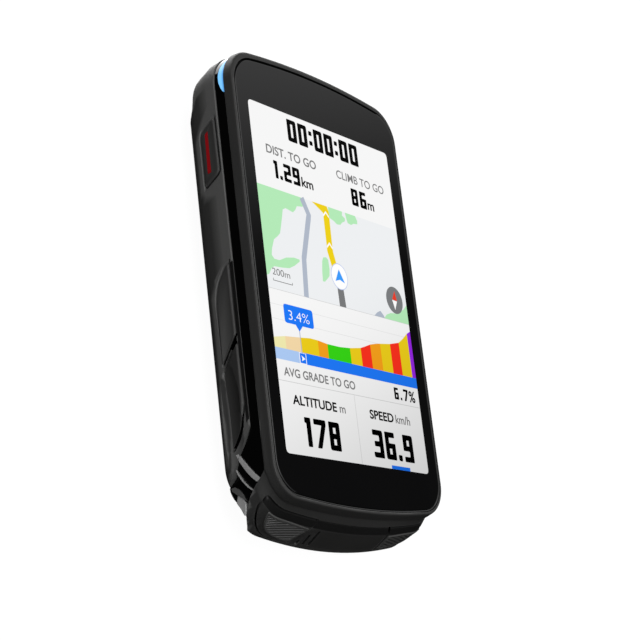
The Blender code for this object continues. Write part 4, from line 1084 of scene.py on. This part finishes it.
def make_display():
    left, right = ACTIVE[:2]
    paper = ink("paper", "F6F6F6")
    grey = ink("grey_text", "7C7C7C")
    black = lit("lit_black", (0.0, 0.0, 0.0), 0.0)
    blue = ink("blue", "2078F6")
    line = ink("line", "CCCCCC")
    sheet("display_paper", 0, paper, [rounded(rect(*ACTIVE), 1.1, 6)])

    sheet("map_ground", 1, ink("ground", "EEF0F2"), [rect(left, right, MAP_LOW, MAP_TOP)])
    wood_left = [(left, MAP_TOP), (left, -0.9), (-23.9, -0.6), (-23.0, 0.7), (-22.0, 1.35), (-19.7, 1.5),
        (-17.0, 1.85), (-15.0, 2.8), (-13.2, 4.0), (-13.2, 4.4), (-15.0, 4.5), (-17.7, 4.0), (-20.0, 3.0),
        (-21.7, 3.0), (-22.4, 3.7), (-22.1, 5.0), (-21.1, 7.2), (-19.7, 8.2), (-18.8, 9.0), (-18.1, 11.0),
        (-17.5, 12.8), (-17.0, 14.5), (-16.0, 15.0), (-13.6, 14.6), (-12.7, 15.3), (-12.0, 16.3),
        (-10.0, 16.6), (-9.4, 17.6), (-10.0, MAP_TOP)]
    wood_top = [(-0.8, MAP_TOP), (-1.0, 16.3), (-0.3, 16.0), (0.7, 15.75), (1.7, 15.2), (3.0, 15.35),
        (3.7, 16.0), (4.8, 16.5), (5.0, 17.15), (4.0, 17.7), (4.2, MAP_TOP)]
    copse_top = [(5.2, MAP_TOP), (5.5, 17.2), (5.8, 16.35), (7.0, 16.15), (8.0, 16.65), (9.45, 16.8),
        (9.5, 17.6), (8.9, MAP_TOP)]
    copse = [(-4.8, 6.5), (-5.3, 5.6), (-5.7, 3.4), (-5.9, 1.1), (-5.2, 1.1), (-4.2, 1.9), (-3.3, 2.7),
        (-3.0, 4.3), (-3.1, 6.3), (-3.8, 6.75)]
    wood_right = [(15.3, MAP_LOW), (right, MAP_LOW), (right, 1.0), (23.3, -0.2), (21.7, -1.0),
        (20.0, -1.65), (18.0, -1.85), (16.3, -2.5)]
    sheet("map_woods", 2, ink("wood", "B4EAB8"), [wood_left, wood_top, copse_top, copse, wood_right])
    road = ribbon([(-10.0, MAP_TOP), (-8.15, 15.2), (-8.4, 14.4), (-11.6, 5.0), (-12.3, MAP_LOW)], 1.55)
    spur = [(11.6, MAP_LOW), (12.8, -2.55), (14.1, -2.0), (15.1, -2.85), (15.5, MAP_LOW)]
    sheet("map_road", 3, ink("road", "B0B9C8"), [road, spur])
    route = [(-6.5, MAP_TOP), (-2.9, 16.8), (-3.0, 9.6), (-3.05, 8.3), (-2.0, 5.0), (-0.3, 6.0),
        (-0.95, 8.4), (-1.0, 10.0), (-0.8, 17.4), (-1.3, MAP_TOP)]
    sheet("map_route", 4, ink("route", "EED11A"), [route])
    sheet("map_track", 4, ink("track", "797A7B"), [[(-0.95, 1.0), (-0.85, MAP_LOW), (1.4, MAP_LOW),
                                                    (1.15, 1.0)]])
    arrows = [[(-2.95, y - 0.95), (-1.95, y), (-0.95, y - 0.95), (-0.95, y - 0.45), (-1.95, y + 0.5),
               (-2.95, y - 0.45)] for y in (16.9, 9.9)]
    white = ink("white", "FFFFFF")
    sheet("map_route_marks", 5, white, arrows)
    sheet("map_marker_ring", 5, ink("ring", "B9C6EC"), [ring_of(0.25, 3.2, 2.92)])
    sheet("map_marker", 6, white, [ring_of(0.25, 3.2, 2.75)])
    sheet("map_marker_arrow", 7, ink("arrow", "3D9BFA"), [[(0.27, 4.85), (-1.35, 2.0), (0.27, 2.5),
                                                          (1.95, 2.0)]])
    sheet("compass_dial", 5, ink("dial", "7B7D7F"), [ring_of(20.15, 1.4, 3.1)])
    sheet("compass_north", 6, ink("north", "E8402C"), [[(20.5, 3.6), (19.3, 1.5), (21.1, 1.35)]])
    sheet("compass_south", 6, white, [[(19.25, 1.4), (20.0, -0.85), (21.05, 1.25)]])
    scale = [(-22.8, -1.2), (-22.8, -1.75), (-16.5, -1.75), (-16.5, -1.2), (-16.65, -1.2), (-16.65, -1.6),
        (-22.65, -1.6), (-22.65, -1.2)]
    sheet("map_scale", 5, grey, [scale], [("200m", -22.8, -17.1, -0.45, 1.05, 0.0)])

    rules = [rect(left, right, -6.75, -6.66), rect(left, right, -9.8, -9.71)]
    sheet("chart_grid", 1, ink("grid", "DFDFDF"), rules)
    rules = [rect(left, right, -3.52, -3.42), rect(left, right, -22.45, -22.33),
             rect(0.25, 0.36, -36.9, -22.5)]
    sheet("panel_lines", 2, line, rules)
    for colour, code in BAR_COLOURS.items():
        shapes = []
        for name, start, stop in BARS:
            if name == colour:
                xs = sorted({start, stop, *(x for x, _ in CHART_TOP if start < x < stop)})
                shapes.append([(start, CHART_BASE), (stop, CHART_BASE)]
                              + [(x, chart_height(x)) for x in reversed(xs)])
        sheet("chart_" + colour, 2, ink(colour, code), shapes)
    sheet("chart_strip", 2, blue, [rect(-15.9, right, -18.07, CHART_BASE)])
    sheet("chart_strip_done", 2, ink("pale_blue", "ACCAF4"), [rect(left, -15.9, -18.07, CHART_BASE)])
    sheet("chart_stem", 3, ink("stem", "A9B3CC"), [rect(-16.12, -15.9, -16.0, -11.2)])
    bubble = rounded(rect(-20.5, -10.95, -10.1, -6.15), 0.7, 5)
    pointer = [(-17.0, -10.2), (-16.0, -11.35), (-14.85, -10.2), (-14.85, -9.9), (-17.0, -9.9)]
    sheet("chart_bubble", 3, blue, [bubble])
    sheet("chart_bubble_pointer", 4, blue, [pointer])
    sheet("chart_bubble_text", 4, white, [], [("3.4%", -19.15, -12.3, -9.3, -7.15, -0.012)])
    sheet("chart_cursor_edge", 3, white, [rect(-17.05, -14.75, -18.07, -15.8)])
    sheet("chart_cursor", 4, blue, [rect(-16.85, -14.95, -17.95, -15.9)])
    sheet("chart_cursor_arrow", 5, white, [[(-16.35, -17.55), (-15.1, -16.95), (-16.35, -16.35),
                                            (-16.1, -16.95)]])
    sheet("page_mark", 2, blue, [rect(10.9, 17.7, -37.0, -36.25)])

    figures = digits("00:00:00", -12.1, 12.75, 30.95, 35.75)
    figures += digits("1.29", -18.35, -9.85, 21.2, 24.95)
    figures += digits("86", 8.6, 13.95, 21.2, 24.95)
    figures += digits("178", -17.75, -6.45, -34.95, -29.25)
    figures += digits("36.9", 5.25, 19.7, -34.95, -29.25)
    figures += digits("6.7", 15.4, 20.5, -21.4, -18.9)
    names = [("km", -9.3, -5.3, 21.35, 23.55, 0.022), ("m", 14.4, 16.8, 21.35, 23.65, 0.022),
        ("%", 20.85, 23.2, -21.4, -18.9, 0.02), ("ALTITUDE", -20.85, -6.35, -26.8, -24.85, 0.026),
        ("SPEED", 5.15, 13.8, -26.8, -24.85, 0.026)]
    sheet("figures", 3, black, figures, names)
    labels = [("DIST. TO GO", -20.3, -3.45, 26.35, 28.3, 0.018),
        ("CLIMB TO GO", 3.8, 21.5, 26.35, 28.3, 0.008),
        ("AVG GRADE TO GO", -22.7, 1.1, -21.25, -19.45, 0.018), ("m", -5.4, -3.4, -26.8, -24.9, 0.012),
        ("km/h", 14.5, 19.95, -26.8, -24.9, 0.012)]
    sheet("labels", 3, grey, [], labels)


# ---------- floor, light and camera

# In metres in the row frame: where the camera stands, and its right, up and back directions.
CAMERA_PLACE = (-0.283745, -0.102366, 0.214401)
CAMERA_RIGHT = (0.60222, -0.11318, 0.79026)
CAMERA_UP = (-0.15385, 0.95489, 0.25400)
CAMERA_BACK = (-0.78336, -0.27455, 0.55764)


def make_floor():
    bm = bmesh.new()
    bmesh.ops.create_grid(bm, x_segments=2, y_segments=2, size=4.0)
    floor = new_object("floor", bm)
    paper, tree, shader = new_material("floor_white")
    cloud = add(tree, "TexNoise", {"Scale": 3.0}, "Fac")
    tone = add(tree, "MapRange", {"To Min": 0.955, "To Max": 0.965, "Value": cloud}, "Result")
    feed(tree, shader, {"Base Color": (0.10, 0.10, 0.10, 1.0), "Roughness": 0.9,
                        "Specular IOR Level": 0.0, "Emission Strength": 1.0, "Emission Color": tone})
    floor.data.materials.append(paper)
    floor.visible_glossy = False
    floor.visible_diffuse = False
    floor.visible_shadow = False


def area_light(name, place, target, size, power, spread=180):
    lamp = bpy.data.lights.new(name, "AREA")
    lamp.shape = "RECTANGLE"
    lamp.size, lamp.size_y = size
    lamp.energy = power
    lamp.spread = radians(spread)
    holder = bpy.data.objects.new(name, lamp)
    bpy.context.scene.collection.objects.link(holder)
    aim = (Vector(target) - Vector(place)).to_track_quat("-Z", "Y")
    holder.matrix_world = Matrix.Translation(place) @ aim.to_matrix().to_4x4()


# What the surfaces mirror: an even glow and bright patches. A patch is its strength, then for each
# axis where its soft edge starts and where it is full.
ROOM_GLOW = 0.018
GLOWS = (
    (0.64, (("X", 0.30, 0.60), ("Y", 0.29, 0.47), ("Z", 0.05, 0.20))),
    (2.20, (("X", 0.35, 0.60), ("Y", 0.20, 0.42), ("Z", 0.05, -0.05))),
    (0.25, (("X", -0.10, -0.50), ("Z", -0.50, -0.38))),
    (3.20, (("X", -0.33, -0.52), ("Z", 0.52, 0.76))),
)


def make_light():
    area_light("overhead", (0.0, 0.0, 1.6), (0, 0, 0), (3.0, 3.0), 24.0)
    area_light("top_end", (0.20, 0.80, -0.34), (0, 0.04, 0.01), (1.1, 0.56), 4.2, spread=150)
    world = bpy.data.worlds.new("studio")
    bpy.context.scene.world = world
    world.use_nodes = True
    tree = world.node_tree
    tree.nodes.clear()
    around = add(tree, "TexCoord", {}, "Generated")
    total = ROOM_GLOW
    for glow, edges in GLOWS:
        for axis, start, stop in edges:
            along = add(tree, "SeparateXYZ", {"Vector": around}, axis)
            edge = add(tree, "MapRange", {"From Min": start, "From Max": stop, "Value": along}, "Result",
                       interpolation_type="SMOOTHSTEP")
            glow = add(tree, "Math", {0: glow, 1: edge}, "Value", operation="MULTIPLY")
        total = add(tree, "Math", {0: total, 1: glow}, "Value", operation="ADD")
    room = add(tree, "Background", {"Color": total}, "Background")
    seen = add(tree, "Background", {"Color": (0.98, 0.98, 0.98, 1.0)}, "Background")
    camera_ray = add(tree, "LightPath", {}, "Is Camera Ray")
    mix = add(tree, "MixShader", {"Fac": camera_ray, 1: room, 2: seen}, "Shader")
    out = tree.nodes.new("ShaderNodeOutputWorld")
    tree.links.new(mix, out.inputs["Surface"])
    bpy.context.scene.view_settings.view_transform = "Standard"


def make_camera():
    lens = bpy.data.cameras.new("camera")
    lens.lens = 96.9
    lens.sensor_width = 36.0
    lens.clip_start = 0.01
    lens.clip_end = 20.0
    camera = bpy.data.objects.new("camera", lens)
    turn = Matrix((CAMERA_RIGHT, CAMERA_UP, CAMERA_BACK)).transposed()
    camera.matrix_world = Matrix.Translation(CAMERA_PLACE) @ turn.to_4x4()
    bpy.context.scene.collection.objects.link(camera)
    bpy.context.scene.camera = camera


# ---------- assembly

dress_inner_nodes()
make_frame()
make_glass()
make_inner_housing()
make_corner_ledges()
make_lights()
make_rear_shell()
make_side_keys()
make_front_keys()
make_chin_panel()
make_mount()
make_screws()
make_port_cover()
make_display()
make_floor()
make_light()
make_camera()

bpy.context.view_layer.update()
